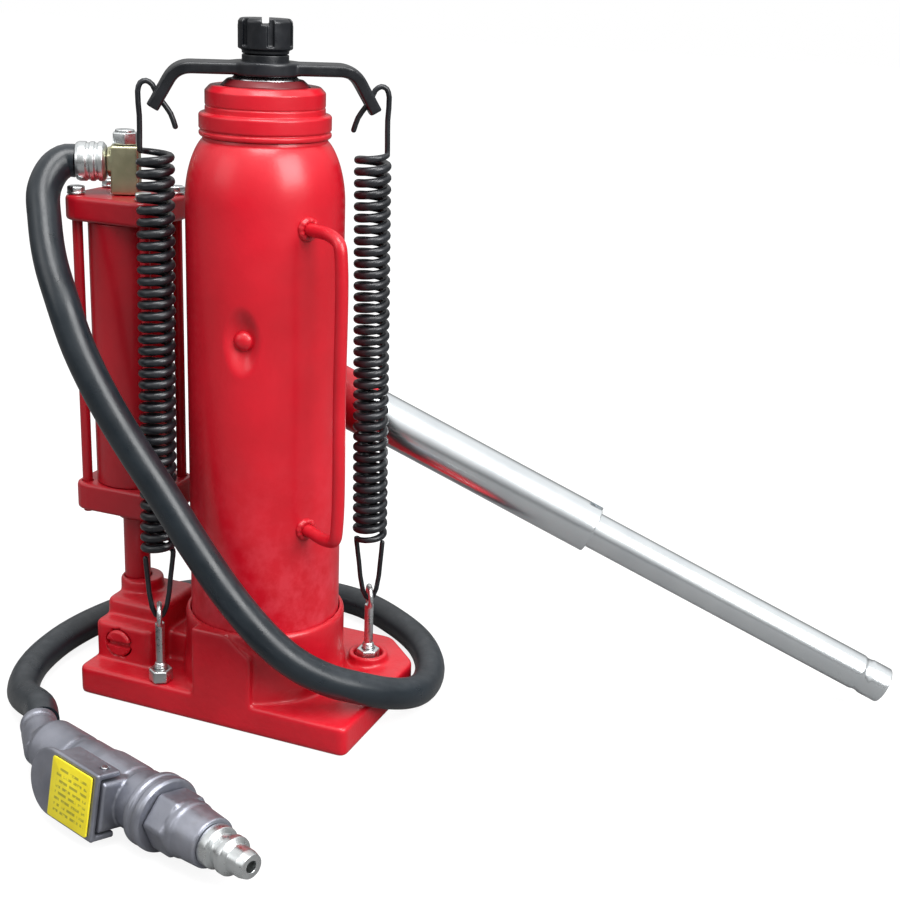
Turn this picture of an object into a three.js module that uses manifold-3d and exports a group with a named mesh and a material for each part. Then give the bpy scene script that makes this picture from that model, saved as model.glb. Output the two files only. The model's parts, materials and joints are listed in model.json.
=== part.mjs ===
// An air and hydraulic bottle jack, in millimetres, with +Z up.
// The origin is on the floor under the bottle's axis, +X runs along the long side
// of the base, away from the air motor, and -Y is the front with the filler plug.
import * as THREE from 'three';
import { mergeVertices } from 'three/addons/utils/BufferGeometryUtils.js';
import Module from 'manifold-3d';

const wasm = await Module();
wasm.setup();

// ---------------------------------------------------------------- driving sizes
const gap = 0.3; // between pieces that touch
const runningGap = 0.5; // between pieces that slide or turn on each other
const degree = Math.PI / 180;

// bottle, ram and screw
const bottleRadius = 33.75;
const bottleWall = 3;
const bottleHeight = 218.5; // from the collar's seat to the neck
const shoulderRise = 26; // height of the round shoulder under the neck
const ramRadius = 14;
const ramWall = 3.8;
const pistonStep = 3; // how much the piston is wider than the ram
const cylinderWall = 4;
const cylinderRadius = ramRadius + pistonStep + cylinderWall;
const neckRadius = cylinderRadius + 2 + bottleWall;
const topNutRadius = neckRadius - 1;
const topNutHeight = 11;
const neckRingRadius = neckRadius + 1.6;
const neckRingHeight = 9.6;
const glandRadius = ramRadius + 1.6;
const screwRadius = ramRadius - ramWall - runningGap;
const saddleRadius = screwRadius + 1.6;
const saddleHeight = 14;

// air motor
const barrelRadius = 17.3;
const barrelWall = 2;
const motorGap = 19.45; // between the bottle and the motor's barrel
const motorX = -(bottleRadius + motorGap + barrelRadius);
const motorY = 1.6;
const motorWidth = 2 * (barrelRadius + 5.2); // caps, along X
const motorDepth = 2 * (barrelRadius + 1.7); // caps, along Y
const motorCorner = 7;
const motorCapHeight = 11;
const motorHeight = 146; // over both caps
const columnRadius = 6.1;
const columnHeight = 69; // from the plate to the lower cap
const tieRadius = 2.3;
const airRodRadius = 3;

// base casting
const baseEnd = 7.5; // past the air motor's axis
const baseLeft = baseEnd - motorX; // from the bottle's axis to the end under the air motor
const baseRight = bottleRadius + 26.25;
const collarWall = 2.6; // outside the bottle
const collarFoot = 1.2; // how much the collar's foot is wider
const baseFront = bottleRadius + collarWall + 1.65; // from the bottle's axis to the front edge
const plateHeight = 14;
const collarHeight = 47; // top of the ring that holds the bottle
const bottleSunk = 6; // how deep the bottle stands in its collar

// return springs, their crossbar and their eye bolts
const springRadius = 8.1; // outside
const springWire = 2.4;
const springGap = 3.15; // between the bottle and the springs' upper ends
const hookRadius = bottleRadius + springGap + springRadius; // to the holes in the crossbar
const upperHook = 22; // from the crossbar's hole to the first coil
const lowerHook = 30; // from the last coil to the eye bolt
const crossbarAngle = 33 * degree; // the crossbar's direction, from +X
const crossbarThickness = 5.5;
const crossbarWidth = 19;
const crossbarDrop = 13.5; // how far the bent ends reach down
const eyeHeight = 33; // from the plate to the eye's centre
const eyeReach = 15.2; // from the bottle's wall to the eye bolts
const leftEyeTurn = 222.5 * degree;
const rightEyeTurn = 35.5 * degree;
const boltRadius = 3;

// hand pump and handle
const pumpRadius = 9.5;
const pumpHeight = 64; // above the plate
const plungerRadius = 5.5;
const pumpGap = 7; // between the bottle and the pump
const handleRadius = 11.5;
const handleWall = 2;
const socketWall = 1.4;
const socketRadius = handleRadius + runningGap + socketWall;
const tubeClearance = 0.8; // between the handle and its extension
const extensionRadius = handleRadius - handleWall - tubeClearance;
const handleLength = 190;
const extensionLength = 195;
const extensionInside = 38; // how far the extension is pushed into the handle
const socketLength = 86;
const socketBottom = 16; // closed stretch at the socket's end
const handleHeading = 13 * degree; // the handle's direction, from +X
const handleDip = 24.5 * degree; // how far it slopes down at rest
const handleRise = 72; // from the pump's top to the handle's axis above it
const pinRadius = 3;
const fulcrumReach = 24; // from the plunger's pin to the fulcrum pin

// carrying handle
const carryRadius = 2.7;
const carryReach = 24.5; // from the bottle's wall to the grip's axis
const carryLength = 131; // between its two legs
const carryDrop = 33.5; // from the bottle's neck to the upper leg
const carryHeading = -30 * degree;

// filler plug
const plugRadius = 4.6;
const plugTurn = -78.5 * degree;
const plugDrop = 80.5; // from the bottle's neck to the plug

// air line
const hoseRadius = 7.2;
const fittingRise = 14; // from the motor's top to the fitting's side port
const portTurn = 29 * degree; // the port points the other way, over the motor's front left corner
const valveRadius = 12.5;
const valveHeight = valveRadius + 3; // of the valve's axis above the floor
const valveHeading = -20.5 * degree;
const valveRoll = 80 * degree; // the valve lies on its side, with its lever to the front
const inletHeading = -48 * degree;
const inletLength = 14;
const nippleLength = 21;

// ---------------------------------------------------------------- colours
function paint(color, roughness, metalness) {
  return new THREE.MeshStandardMaterial({ color, roughness, metalness });
}
const red = () => paint(0xc8182c, 0.35, 0.1);
const black = () => paint(0x1b1b20, 0.45, 0.3);
const steel = () => paint(0xb4bcc0, 0.3, 0.9);
const zinc = () => paint(0xd6dde0, 0.28, 0.9);
const brass = () => paint(0xb5b184, 0.35, 0.85);
const castZinc = () => paint(0x8f93a3, 0.45, 0.7);
const rubber = () => paint(0x2c343c, 0.6, 0);
const sealRubber = () => paint(0x18181a, 0.7, 0);
const yellow = () => paint(0xe1dc28, 0.5, 0);

// ---------------------------------------------------------------- shape helpers
// A closed geometry with its faces pointing out, whichever way its profile ran.
function outward(geometry) {
  const plain = new THREE.BufferGeometry();
  plain.setAttribute('position', geometry.getAttribute('position'));
  if (geometry.index) plain.setIndex(geometry.index);
  const merged = mergeVertices(plain, 1e-4);
  const index = Array.from(merged.index.array);
  const p = merged.getAttribute('position');
  const [a, b, c] = [new THREE.Vector3(), new THREE.Vector3(), new THREE.Vector3()];
  const kept = [];
  let volume = 0;
  for (let i = 0; i < index.length; i += 3) {
    const [i0, i1, i2] = index.slice(i, i + 3);
    if (i0 === i1 || i1 === i2 || i2 === i0) continue;
    kept.push(i0, i1, i2);
    a.fromBufferAttribute(p, i0);
    b.fromBufferAttribute(p, i1);
    c.fromBufferAttribute(p, i2);
    volume += a.dot(b.cross(c));
  }
  if (volume < 0) kept.reverse();
  merged.setIndex(kept);
  return merged;
}

function solid(geometry) {
  const closed = outward(geometry);
  const vertProperties = new Float32Array(closed.getAttribute('position').array);
  const triVerts = new Uint32Array(closed.index.array);
  return new wasm.Manifold(new wasm.Mesh({ numProp: 3, vertProperties, triVerts }));
}

function geometryOf(manifold) {
  const mesh = manifold.getMesh();
  const geometry = new THREE.BufferGeometry();
  geometry.setAttribute('position', new THREE.BufferAttribute(mesh.vertProperties, 3));
  geometry.setIndex(new THREE.BufferAttribute(mesh.triVerts, 1));
  return geometry;
}

function join(...parts) {
  return geometryOf(parts.map(solid).reduce((whole, part) => whole.add(part)));
}

function cut(part, ...tools) {
  return geometryOf(tools.map(solid).reduce((whole, tool) => whole.subtract(tool), solid(part)));
}

// A solid of revolution about Z through (x, y); profile points are [radius, z].
function turned(profile, x = 0, y = 0, sides = 24) {
  const points = profile.map(([r, z]) => new THREE.Vector2(r, z));
  return new THREE.LatheGeometry(points, sides).rotateX(Math.PI / 2).translate(x, y, 0);
}

function disc(radius, low, high, x = 0, y = 0, sides = 24) {
  return turned([[0, low], [radius, low], [radius, high], [0, high]], x, y, sides);
}

function ring(outer, inner, low, high, x = 0, y = 0, sides = 24) {
  const profile = [[inner, low], [outer, low], [outer, high], [inner, high], [inner, low]];
  return turned(profile, x, y, sides);
}

// A flat outline in X and Y, pushed up from low to high.
function slab(outline, low, high, bevel = 0) {
  const shape = new THREE.Shape(outline.map(([x, y]) => new THREE.Vector2(x, y)));
  const options = { depth: high - low - bevel, bevelEnabled: false };
  const lower = new THREE.ExtrudeGeometry(shape, options).translate(0, 0, low);
  if (bevel === 0) return lower;
  const edge = { depth: 0.01, bevelEnabled: true, bevelThickness: bevel, bevelSize: bevel };
  edge.bevelOffset = -bevel;
  edge.bevelSegments = 2;
  const upper = new THREE.ExtrudeGeometry(shape, edge).translate(0, 0, high - bevel - 0.01);
  return join(lower, upper);
}

function block(low, high) {
  const size = high.map((value, k) => value - low[k]);
  const middle = high.map((value, k) => (value + low[k]) / 2);
  return new THREE.BoxGeometry(...size).translate(...middle);
}

// A rectangle with its corners cut off, centred on (x, y).
function chamfered(x, y, width, depth, corner) {
  const [a, b] = [width / 2, depth / 2];
  const points = [[a, -b + corner], [a, b - corner], [a - corner, b], [corner - a, b],
    [-a, b - corner], [-a, corner - b], [corner - a, -b], [a - corner, -b]];
  return points.map(([px, py]) => [px + x, py + y]);
}

function circle(radius, sides) {
  const points = [];
  for (let i = 0; i < sides; i += 1) {
    const turn = (i / sides) * 2 * Math.PI;
    points.push(new THREE.Vector2(radius * Math.cos(turn), radius * Math.sin(turn)));
  }
  return new THREE.Shape(points);
}

// A round rod that follows a list of points.
function bentRod(points, radius, steps, sides = 10, smooth = true) {
  const places = points.map((p) => new THREE.Vector3(...p));
  let path = new THREE.CatmullRomCurve3(places, false, 'centripetal');
  if (!smooth) {
    path = new THREE.CurvePath();
    for (let i = 1; i < places.length; i += 1) {
      path.add(new THREE.LineCurve3(places[i - 1], places[i]));
    }
  }
  const options = { steps, extrudePath: path, bevelEnabled: false };
  return new THREE.ExtrudeGeometry(circle(radius, sides), options);
}

// Turns a solid made along +Z from the origin so that it points along a direction.
function aimed(geometry, origin, direction) {
  const turn = new THREE.Quaternion();
  turn.setFromUnitVectors(new THREE.Vector3(0, 0, 1), direction.clone().normalize());
  return geometry.applyQuaternion(turn).translate(origin.x, origin.y, origin.z);
}

const jack = new THREE.Group();

function part(name, geometry, material) {
  const mesh = new THREE.Mesh(outward(geometry), material);
  mesh.name = name;
  jack.add(mesh);
  return mesh;
}

// ---------------------------------------------------------------- shared places
const seatHeight = collarHeight - bottleSunk; // where the bottle stands
const neckHeight = seatHeight + bottleHeight; // top of the bottle's shell
const ringTop = neckHeight + gap + neckRingHeight;
const nutTop = ringTop + topNutHeight;
const ramTop = nutTop + 4;
const crossbarTop = ramTop + gap + crossbarThickness;
const saddleTop = crossbarTop + 3 + saddleHeight;

const motorLow = plateHeight + columnHeight; // underside of the lower cap
const motorHigh = motorLow + motorHeight; // top of the upper cap
const fittingHeight = motorHigh + fittingRise;
const carryHigh = neckHeight - carryDrop;
const carryLow = carryHigh - carryLength;
const plugHeight = neckHeight - plugDrop;

const pumpDistance = bottleRadius + pumpGap + pumpRadius;
const pumpTurn = 113.3 * degree; // the pump's direction from the bottle's axis
const pumpX = pumpDistance * Math.cos(pumpTurn);
const pumpY = pumpDistance * Math.sin(pumpTurn);
const baseBack = pumpY + pumpRadius + 1; // from the bottle's axis to the back edge

function eyePlace(turn) {
  const distance = bottleRadius + eyeReach;
  return [distance * Math.cos(turn), distance * Math.sin(turn)];
}

const leftEye = eyePlace(leftEyeTurn);
const rightEye = eyePlace(rightEyeTurn);
const across = new THREE.Vector3(Math.cos(crossbarAngle), Math.sin(crossbarAngle), 0);

// ---------------------------------------------------------------- base casting
function basePlate() {
  const c = 20; // the cut corners at the back
  const outline = [[-baseLeft, -baseFront], [baseRight, -baseFront],
    [baseRight, baseBack - c], [baseRight - c, baseBack],
    [-baseLeft + c, baseBack], [-baseLeft, baseBack - c]];
  return slab(outline, 0, plateHeight, 1.6);
}

function frontBlock() {
  const shape = new THREE.Shape();
  const [left, right] = [-17, 12.8];
  const slope = 13; // width of the slanted right shoulder
  shape.moveTo(left, 1);
  shape.lineTo(right, 1);
  shape.lineTo(right, collarHeight - 10);
  shape.lineTo(right - slope, collarHeight - 0.5);
  shape.lineTo(left, collarHeight - 0.5);
  const depth = baseFront - bottleRadius / 2; // it runs into the collar
  const options = { depth, bevelEnabled: false };
  const up = new THREE.ExtrudeGeometry(shape, options).rotateX(Math.PI / 2);
  return up.translate(0, -baseFront + depth, 0);
}

// The block that carries the air motor's column, with sloping shoulders.
function motorBlock() {
  const width = motorWidth - 14;
  const middle = width / 2 + 1.5 - baseLeft;
  const low = chamfered(middle, motorY - 4, width, 48, 4);
  const body = slab(low, plateHeight - 1, plateHeight + 19, 2);
  const high = chamfered(middle, motorY - 2, width, 34, 5);
  const boss = disc(columnRadius + 4, plateHeight, plateHeight + 33, motorX + 2.5, motorY);
  return join(body, slab(high, plateHeight + 10, plateHeight + 27, 3), boss);
}

const releaseX = motorX + 7;
const releaseZ = plateHeight + 9.5;
const blockFront = motorY - 28;
const pocketDepth = 8;

// A solid made along +Z, turned to reach into the block's front face at the release valve.
function intoBlock(geometry) {
  return geometry.rotateX(-Math.PI / 2).translate(releaseX, blockFront, releaseZ);
}

function baseCasting() {
  const collar = bottleRadius + collarWall;
  const foot = collar + collarFoot;
  const collarProfile = [[0, 1], [foot, 1], [foot, plateHeight + 6],
    [collar, plateHeight + 12], [collar, collarHeight - 1.5], [collar - 1.2, collarHeight],
    [0, collarHeight]];
  const web = block([motorX, -12, 1], [0, 16, plateHeight + 14]);
  const body = join(basePlate(), turned(collarProfile, 0, 0, 32), frontBlock(), motorBlock(),
    web, disc(pumpRadius + 1, 1, plateHeight + 12, pumpX, pumpY),
    disc(6.5, 1, plateHeight + 4, fulcrum.x, fulcrum.y));
  return cut(body,
    disc(bottleRadius + gap, seatHeight - gap, collarHeight + 5, 0, 0, 32),
    disc(cylinderRadius + gap, seatHeight - 15, seatHeight, 0, 0, 24),
    disc(pumpRadius - 2 + gap, plateHeight - 4, plateHeight + 20, pumpX, pumpY),
    disc(columnRadius + gap, plateHeight + 4, plateHeight + 40, motorX, motorY),
    disc(boltRadius + gap, 5, plateHeight + 8, ...leftEye, 20),
    disc(boltRadius + gap, 5, plateHeight + 8, ...rightEye, 20),
    disc(4 + gap, plateHeight - 5, plateHeight + 8, fulcrum.x, fulcrum.y, 24),
    intoBlock(disc(5 + gap, 0, pocketDepth + 12, 0, 0, 24)),
    intoBlock(disc(6.5 + 2 * gap, -4, pocketDepth, 0, 0, 24)));
}

// ---------------------------------------------------------------- bottle and ram
// The shoulder is a quarter ellipse from the wall's radius in to the neck's.
function bottleOutline(radius, neck, low, high, lip) {
  const points = [[radius, low]];
  const steps = 5;
  for (let i = 0; i <= steps; i += 1) {
    const turn = (i / steps) * 80 * degree;
    const r = neck + (radius - neck) * Math.cos(turn);
    points.push([r, high - lip - shoulderRise + shoulderRise * Math.sin(turn)]);
  }
  points.push([neck, high]);
  return points;
}

function plugPlace(radius) {
  const [x, y] = [radius * Math.cos(plugTurn), radius * Math.sin(plugTurn)];
  return new THREE.Vector3(x, y, plugHeight);
}

function bottleShell() {
  const outer = bottleOutline(bottleRadius, neckRadius, seatHeight, neckHeight, 1);
  const innerNeck = neckRadius - bottleWall;
  const inner = bottleOutline(bottleRadius - bottleWall, innerNeck, seatHeight, neckHeight, 4);
  const shell = turned([...outer, ...inner.reverse(), outer[0]], 0, 0, 32);
  const outwards = plugPlace(1).setZ(0);
  const dimple = aimed(disc(plugRadius + 2.9, 0, 10, 0, 0, 24), plugPlace(bottleRadius - 1), outwards);
  const hole = aimed(disc(plugRadius + gap, -10, 10, 0, 0, 24), plugPlace(bottleRadius), outwards);
  return cut(shell, dimple, hole);
}

function fillerPlug() {
  const outwards = plugPlace(1).setZ(0);
  const head = plugRadius + 1.6;
  const profile = [[0, -bottleWall - 1], [plugRadius, -bottleWall - 1], [plugRadius, -0.7],
    [head, -0.7], [head, 1.2], [head - 2.2, 2.2], [0, 2.2]];
  return aimed(turned(profile, 0, 0, 24), plugPlace(bottleRadius), outwards);
}

const cylinderLow = seatHeight - 15 + gap;
const pistonLow = cylinderLow + 6;
const pistonHigh = pistonLow + 12;

function pressureCylinder() {
  const bore = cylinderRadius - cylinderWall;
  return turned([[0, cylinderLow], [cylinderRadius, cylinderLow], [cylinderRadius, neckHeight],
    [bore, neckHeight], [bore, cylinderLow + 4], [0, cylinderLow + 4]], 0, 0, 24);
}

function topNut() {
  const bore = ramRadius + 1.2 + gap;
  const low = neckHeight + gap;
  const profile = [[bore, low], [neckRingRadius, low], [neckRingRadius, low + 2],
    [neckRingRadius - 0.8, low + 2.6], [neckRingRadius, low + 3.2], [neckRingRadius, ringTop],
    [topNutRadius, ringTop], [topNutRadius, nutTop - 1.6], [topNutRadius - 1.8, nutTop],
    [bore + 3, nutTop], [bore + 3, nutTop - 3], [bore, nutTop - 3], [bore, low]];
  return turned(profile, 0, 0, 32);
}

// The wiper sits in the nut's top and stands a little proud of it.
function glandRing() {
  const inner = ramRadius + runningGap;
  const low = nutTop - 3 + gap;
  const outer = ramRadius + 1.2 + 3;
  return turned([[inner, low], [outer, low], [outer, nutTop + 0.4], [glandRadius, nutTop + 2.6],
    [inner, nutTop + 2.6], [inner, low]], 0, 0, 24);
}

function ramTube() {
  const bore = screwRadius + runningGap;
  return turned([[0, pistonHigh + gap], [ramRadius, pistonHigh + gap], [ramRadius, ramTop - 1],
    [ramRadius - 1, ramTop], [bore, ramTop], [bore, pistonHigh + 14],
    [0, pistonHigh + 14]], 0, 0, 24);
}

function ramPiston() {
  const r = cylinderRadius - cylinderWall - runningGap;
  return turned([[0, pistonLow], [r, pistonLow], [r, pistonLow + 4], [r - 2.4, pistonLow + 4],
    [r - 2.4, pistonLow + 8], [r, pistonLow + 8], [r, pistonHigh], [0, pistonHigh]], 0, 0, 24);
}

function ramSeal() {
  const r = cylinderRadius - cylinderWall - 0.3;
  const inner = r + 0.3 - runningGap - 2.4 + gap;
  return ring(r, inner, pistonLow + 4 + gap, pistonLow + 8 - gap, 0, 0, 24);
}

// The screw in the ram; its neck passes through the crossbar and carries the saddle.
const saddleLow = saddleTop - saddleHeight;

function extensionScrew() {
  const low = pistonHigh + 14 + 1;
  const points = [[0, low], [screwRadius - 1, low]];
  const threads = 7;
  const pitch = (saddleLow - 26 - low) / threads;
  for (let i = 0; i < threads; i += 1) {
    points.push([screwRadius, low + (i + 0.3) * pitch]);
    points.push([screwRadius, low + (i + 0.7) * pitch]);
    points.push([screwRadius - 1, low + (i + 1) * pitch]);
  }
  points.push([screwRadius, saddleLow - 24], [screwRadius, saddleLow - gap], [0, saddleLow - gap]);
  return turned(points, 0, 0, 20);
}

// A round pad with slots across its rim and a cross in its top face.
function saddlePad() {
  const pad = turned([[0, saddleLow], [saddleRadius - 1, saddleLow], [saddleRadius, saddleLow + 1],
    [saddleRadius, saddleTop - 1.5], [saddleRadius - 1, saddleTop], [0, saddleTop]]);
  const slots = [];
  for (let i = 0; i < 6; i += 1) {
    const slot = block([saddleRadius - 1.6, -1.4, saddleLow + 2], [saddleRadius + 3, 1.4,
      saddleTop + 1]);
    slots.push(slot.rotateZ((i * 60 + 10) * degree));
  }
  const groove = block([-saddleRadius - 1, -1.5, saddleTop - 2.5], [saddleRadius + 1, 1.5,
    saddleTop + 1]);
  slots.push(groove.clone().rotateZ(-61 * degree), groove.rotateZ(29 * degree));
  return cut(pad, ...slots);
}

// ---------------------------------------------------------------- crossbar and springs
// A flat strap bent down at both ends, with a hole for the screw and one for each spring.
const crossbarLow = ramTop + gap;
const hookHoleRadius = 2.6;
const hookHoleZ = crossbarTop - crossbarDrop - 1.5;

function crossbar() {
  const bend = hookRadius - 8.5;
  const end = hookRadius + 3.6;
  const shape = new THREE.Shape();
  const upper = [[-end, crossbarTop - crossbarDrop - 7], [-bend - 1.5, crossbarTop - 1.2],
    [-bend + 1.5, crossbarTop], [bend - 1.5, crossbarTop], [bend + 1.5, crossbarTop - 1.2],
    [end, crossbarTop - crossbarDrop - 7]];
  const lower = [[end - 5, crossbarTop - crossbarDrop - 7], [bend - 2, crossbarLow],
    [-bend + 2, crossbarLow], [-end + 5, crossbarTop - crossbarDrop - 7]];
  [...upper, ...lower].forEach(([x, z], i) => {
    if (i === 0) shape.moveTo(x, z);
    else shape.lineTo(x, z);
  });
  const options = { depth: crossbarWidth, bevelEnabled: false };
  const strap = new THREE.ExtrudeGeometry(shape, options).rotateX(Math.PI / 2);
  strap.translate(0, crossbarWidth / 2, 0);
  const eye = disc(screwRadius + 5.5, crossbarLow, crossbarTop);
  const screwHole = disc(screwRadius + gap, crossbarLow - 5, crossbarTop + 5);
  const hookHole = disc(hookHoleRadius, -20, 20, 0, 0, 16).rotateY(Math.PI / 2);
  const holes = [hookHole.clone().translate(hookRadius, 0, hookHoleZ),
    hookHole.translate(-hookRadius, 0, hookHoleZ)];
  return cut(join(strap, eye), screwHole, ...holes).rotateZ(crossbarAngle);
}

// One return spring: its coils as a tube, and a wire hook at each end.
function springBody(side, eye) {
  const top = across.clone().multiplyScalar(side * hookRadius).setZ(hookHoleZ);
  const bottom = new THREE.Vector3(...eye, plateHeight + eyeHeight);
  const down = bottom.clone().sub(top);
  const long = down.length();
  const start = upperHook;
  const finish = long - lowerHook;
  const inner = springRadius - springWire;
  const coils = aimed(ring(springRadius, inner, start, finish, 0, 0, 24), top, down);
  const r = springWire / 2;
  const out = across.clone().multiplyScalar(side);
  const along = (t, reach) => top.clone().lerp(bottom, t / long).addScaledVector(out, reach);
  const list = (points) => points.map((p) => p.toArray());
  const rim = springRadius - r;
  const upper = bentRod(list([along(start + 3, rim), along(start - 14, rim + 0.5),
    along(start - 26, rim), along(-4, 7.5), along(-6, 3.5), along(-1.2, 0.2),
    along(0.4, -4), along(4, -6.6), along(10, -7)]), r, 18, 6);
  const lower = bentRod(list([along(finish - 3, -rim), along(finish + 12, -rim + 1),
    along(long - 3.5, -3.4), along(long + 2.6, 0), along(long - 3.5, 3.4),
    along(finish + 12, rim - 1), along(finish - 3, rim)]), r, 18, 6);
  return join(coils, upper, lower);
}

// ---------------------------------------------------------------- eye bolts
const eyeInner = 3.6;
const eyeWire = 2.3;

function eyeBolt([x, y]) {
  const eye = new THREE.TorusGeometry(eyeInner + eyeWire / 2, eyeWire / 2, 6, 16);
  eye.rotateX(Math.PI / 2).rotateZ(crossbarAngle + Math.PI / 2).translate(x, y, 0);
  const stem = plateHeight + eyeHeight - eyeInner - eyeWire / 2;
  const shank = turned([[0, 6], [boltRadius, 6], [boltRadius, plateHeight + 7],
    [boltRadius - 1, plateHeight + 9], [boltRadius - 1, stem], [0, stem]], x, y, 16);
  return join(eye.translate(0, 0, plateHeight + eyeHeight), shank);
}

function eyeNut([x, y]) {
  const nut = disc(boltRadius + 2.6, plateHeight + gap, plateHeight + 6, x, y, 6);
  return cut(nut, disc(boltRadius + gap, plateHeight - 1, plateHeight + 10, x, y, 20));
}

// ---------------------------------------------------------------- hand pump
const heading = new THREE.Vector3(Math.cos(handleHeading), Math.sin(handleHeading), 0);
const sideways = new THREE.Vector3(-heading.y, heading.x, 0);
const handleAim = heading.clone().multiplyScalar(Math.cos(handleDip)).setZ(-Math.sin(handleDip));
const pumpTop = plateHeight + pumpHeight;
const socketHeight = pumpTop + handleRise;
const socketMiddle = new THREE.Vector3(pumpX, pumpY, socketHeight);
const handleUp = new THREE.Vector3().crossVectors(handleAim, sideways).normalize();
const pinDrop = socketRadius + 10.4; // from the handle's axis to the pins
const plungerPin = socketMiddle.clone().setZ(socketHeight - pinDrop / Math.cos(handleDip));
const fulcrum = plungerPin.clone().addScaledVector(handleAim, -fulcrumReach);
const earThickness = 4;
const eyeThickness = 2 * plungerRadius + 0.8; // of the heads that the pins pass through

function pumpCylinder() {
  const low = plateHeight - 4 + gap;
  const stub = pumpRadius - 2;
  const bore = plungerRadius + runningGap;
  return turned([[0, low + 3], [bore, low + 3], [bore, pumpTop], [pumpRadius - 1, pumpTop],
    [pumpRadius, pumpTop - 1], [pumpRadius, plateHeight + 12 + gap],
    [stub, plateHeight + 12 + gap], [stub, low], [0, low]], pumpX, pumpY, 24);
}

// A bar with round ends that lies along the handle's heading, with its flats sideways.
function stadium(radius, reach, thickness, place) {
  const half = thickness / 2;
  const middle = block([-reach, -half, -radius], [reach, half, radius]);
  const end = disc(radius, -half, half, 0, 0, 24).rotateX(Math.PI / 2);
  const bar = join(middle, end.clone().translate(reach, 0, 0), end.translate(-reach, 0, 0));
  return bar.rotateZ(handleHeading).translate(place.x, place.y, place.z);
}

// The plunger's head has a slot, because its pin swings on an arc about the fulcrum.
function pumpPlunger() {
  const low = plateHeight + 8;
  const slotRadius = pinRadius + 1.1;
  const slotReach = 1.8;
  const rod = disc(plungerRadius, low, plungerPin.z - slotRadius - 0.5, pumpX, pumpY, 24);
  const head = stadium(slotRadius + 2.5, slotReach, eyeThickness, plungerPin);
  const slot = stadium(slotRadius, slotReach, eyeThickness + 4, plungerPin);
  const groove = ring(plungerRadius + 1, plungerRadius - 1.4, low + 4, low + 7, pumpX, pumpY, 24);
  return cut(join(rod, head), slot, groove);
}

function pumpSeal() {
  const low = plateHeight + 12;
  const inner = plungerRadius - 1.4 + gap;
  return ring(plungerRadius + runningGap - 0.2, inner, low + gap, low + 3 - gap, pumpX, pumpY, 24);
}

function acrossPin(place, radius, length) {
  const half = length / 2;
  const pin = turned([[0, -half], [radius, -half], [radius, half], [0, half]], 0, 0, 16);
  return aimed(pin, place, sideways);
}

function fulcrumPost() {
  const top = fulcrum.z;
  const post = disc(4.6, plateHeight + 4 + gap, top - 3, fulcrum.x, fulcrum.y, 20);
  const stub = disc(4, plateHeight - 5 + gap, plateHeight + 8, fulcrum.x, fulcrum.y, 20);
  const head = acrossPin(fulcrum, 6.5, eyeThickness);
  const hole = acrossPin(fulcrum, pinRadius + gap, eyeThickness + 4);
  return cut(join(post, stub, head), hole);
}

const socketBack = -fulcrumReach - 12;

// The tube that takes the handle, with two ears below it for the pins.
function handleSocket() {
  const finish = socketBack + socketLength;
  const tube = disc(socketRadius, socketBack, finish, 0, 0, 32);
  const bore = disc(handleRadius + runningGap, socketBack + socketBottom, finish + 10, 0, 0, 32);
  const ears = [];
  for (const side of [-1, 1]) {
    const inside = side * (eyeThickness / 2 + gap);
    const outside = side * (eyeThickness / 2 + gap + earThickness);
    const [low, high] = [Math.min(inside, outside), Math.max(inside, outside)];
    ears.push(block([-fulcrumReach - 8, low, -pinDrop - 7], [9, high, -socketRadius + 2.5]));
  }
  const frame = new THREE.Matrix4().makeBasis(handleAim, sideways, handleUp);
  const placed = (geometry) => geometry.applyMatrix4(frame)
    .translate(socketMiddle.x, socketMiddle.y, socketMiddle.z);
  const along = (geometry) => placed(geometry.rotateY(Math.PI / 2));
  const slant = Math.tan(handleDip) * pinDrop;
  const shifted = ears.map((ear) => placed(ear.translate(slant, 0, 0)));
  const body = join(along(tube), ...shifted);
  const pinHoles = [plungerPin, fulcrum].map((place) => acrossPin(place, pinRadius + gap, 40));
  return cut(body, along(bore), ...pinHoles);
}

function tubeAlongHandle(outer, inner, start, finish, sides = 32) {
  return aimed(ring(outer, inner, start, finish, 0, 0, sides), socketMiddle, handleAim);
}

const handleStart = socketBack + socketBottom + gap;
const handleFinish = handleStart + handleLength;

function handleTube() {
  const tube = tubeAlongHandle(handleRadius, handleRadius - handleWall, handleStart, handleFinish);
  const notch = block([-2.2, 0, handleFinish - 7], [2.2, handleRadius + 5, handleFinish + 3]);
  return cut(tube, aimed(notch, socketMiddle, handleAim));
}

function handleExtension() {
  const start = handleFinish - extensionInside;
  const finish = start + extensionLength;
  return tubeAlongHandle(extensionRadius, extensionRadius - handleWall, start, finish, 28);
}

// ---------------------------------------------------------------- carrying handle
function carryHandle() {
  const out = (reach, z) => [reach * Math.cos(carryHeading), reach * Math.sin(carryHeading), z];
  const near = bottleRadius + gap;
  const far = bottleRadius + carryReach;
  const bend = 9;
  const upper = [out(near, carryHigh), out(near + 4, carryHigh), out(far - bend, carryHigh),
    out(far - 2, carryHigh - 2.4), out(far, carryHigh - bend - 2)];
  const lower = [out(far, carryLow + bend + 2), out(far - 2, carryLow + 2.4),
    out(far - bend, carryLow), out(near + 4, carryLow), out(near, carryLow)];
  const middle = out(far, (carryHigh + carryLow) / 2);
  return bentRod([...upper, middle, ...lower], carryRadius, 28, 8);
}

// ---------------------------------------------------------------- air motor
const tieX = barrelRadius;
const tieY = motorDepth / 2 - 6;
const rodBore = airRodRadius + runningGap;
const barrelLow = motorLow + 13;
const barrelHigh = motorHigh - motorCapHeight;
const pistonTop = barrelHigh - 6;

function tieHoles(low, high) {
  const holes = [];
  for (const [sx, sy] of [[-1, -1], [1, -1], [1, 1], [-1, 1]]) {
    holes.push(disc(tieRadius + gap, low, high, motorX + sx * tieX, motorY + sy * tieY, 16));
  }
  return holes;
}

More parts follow.
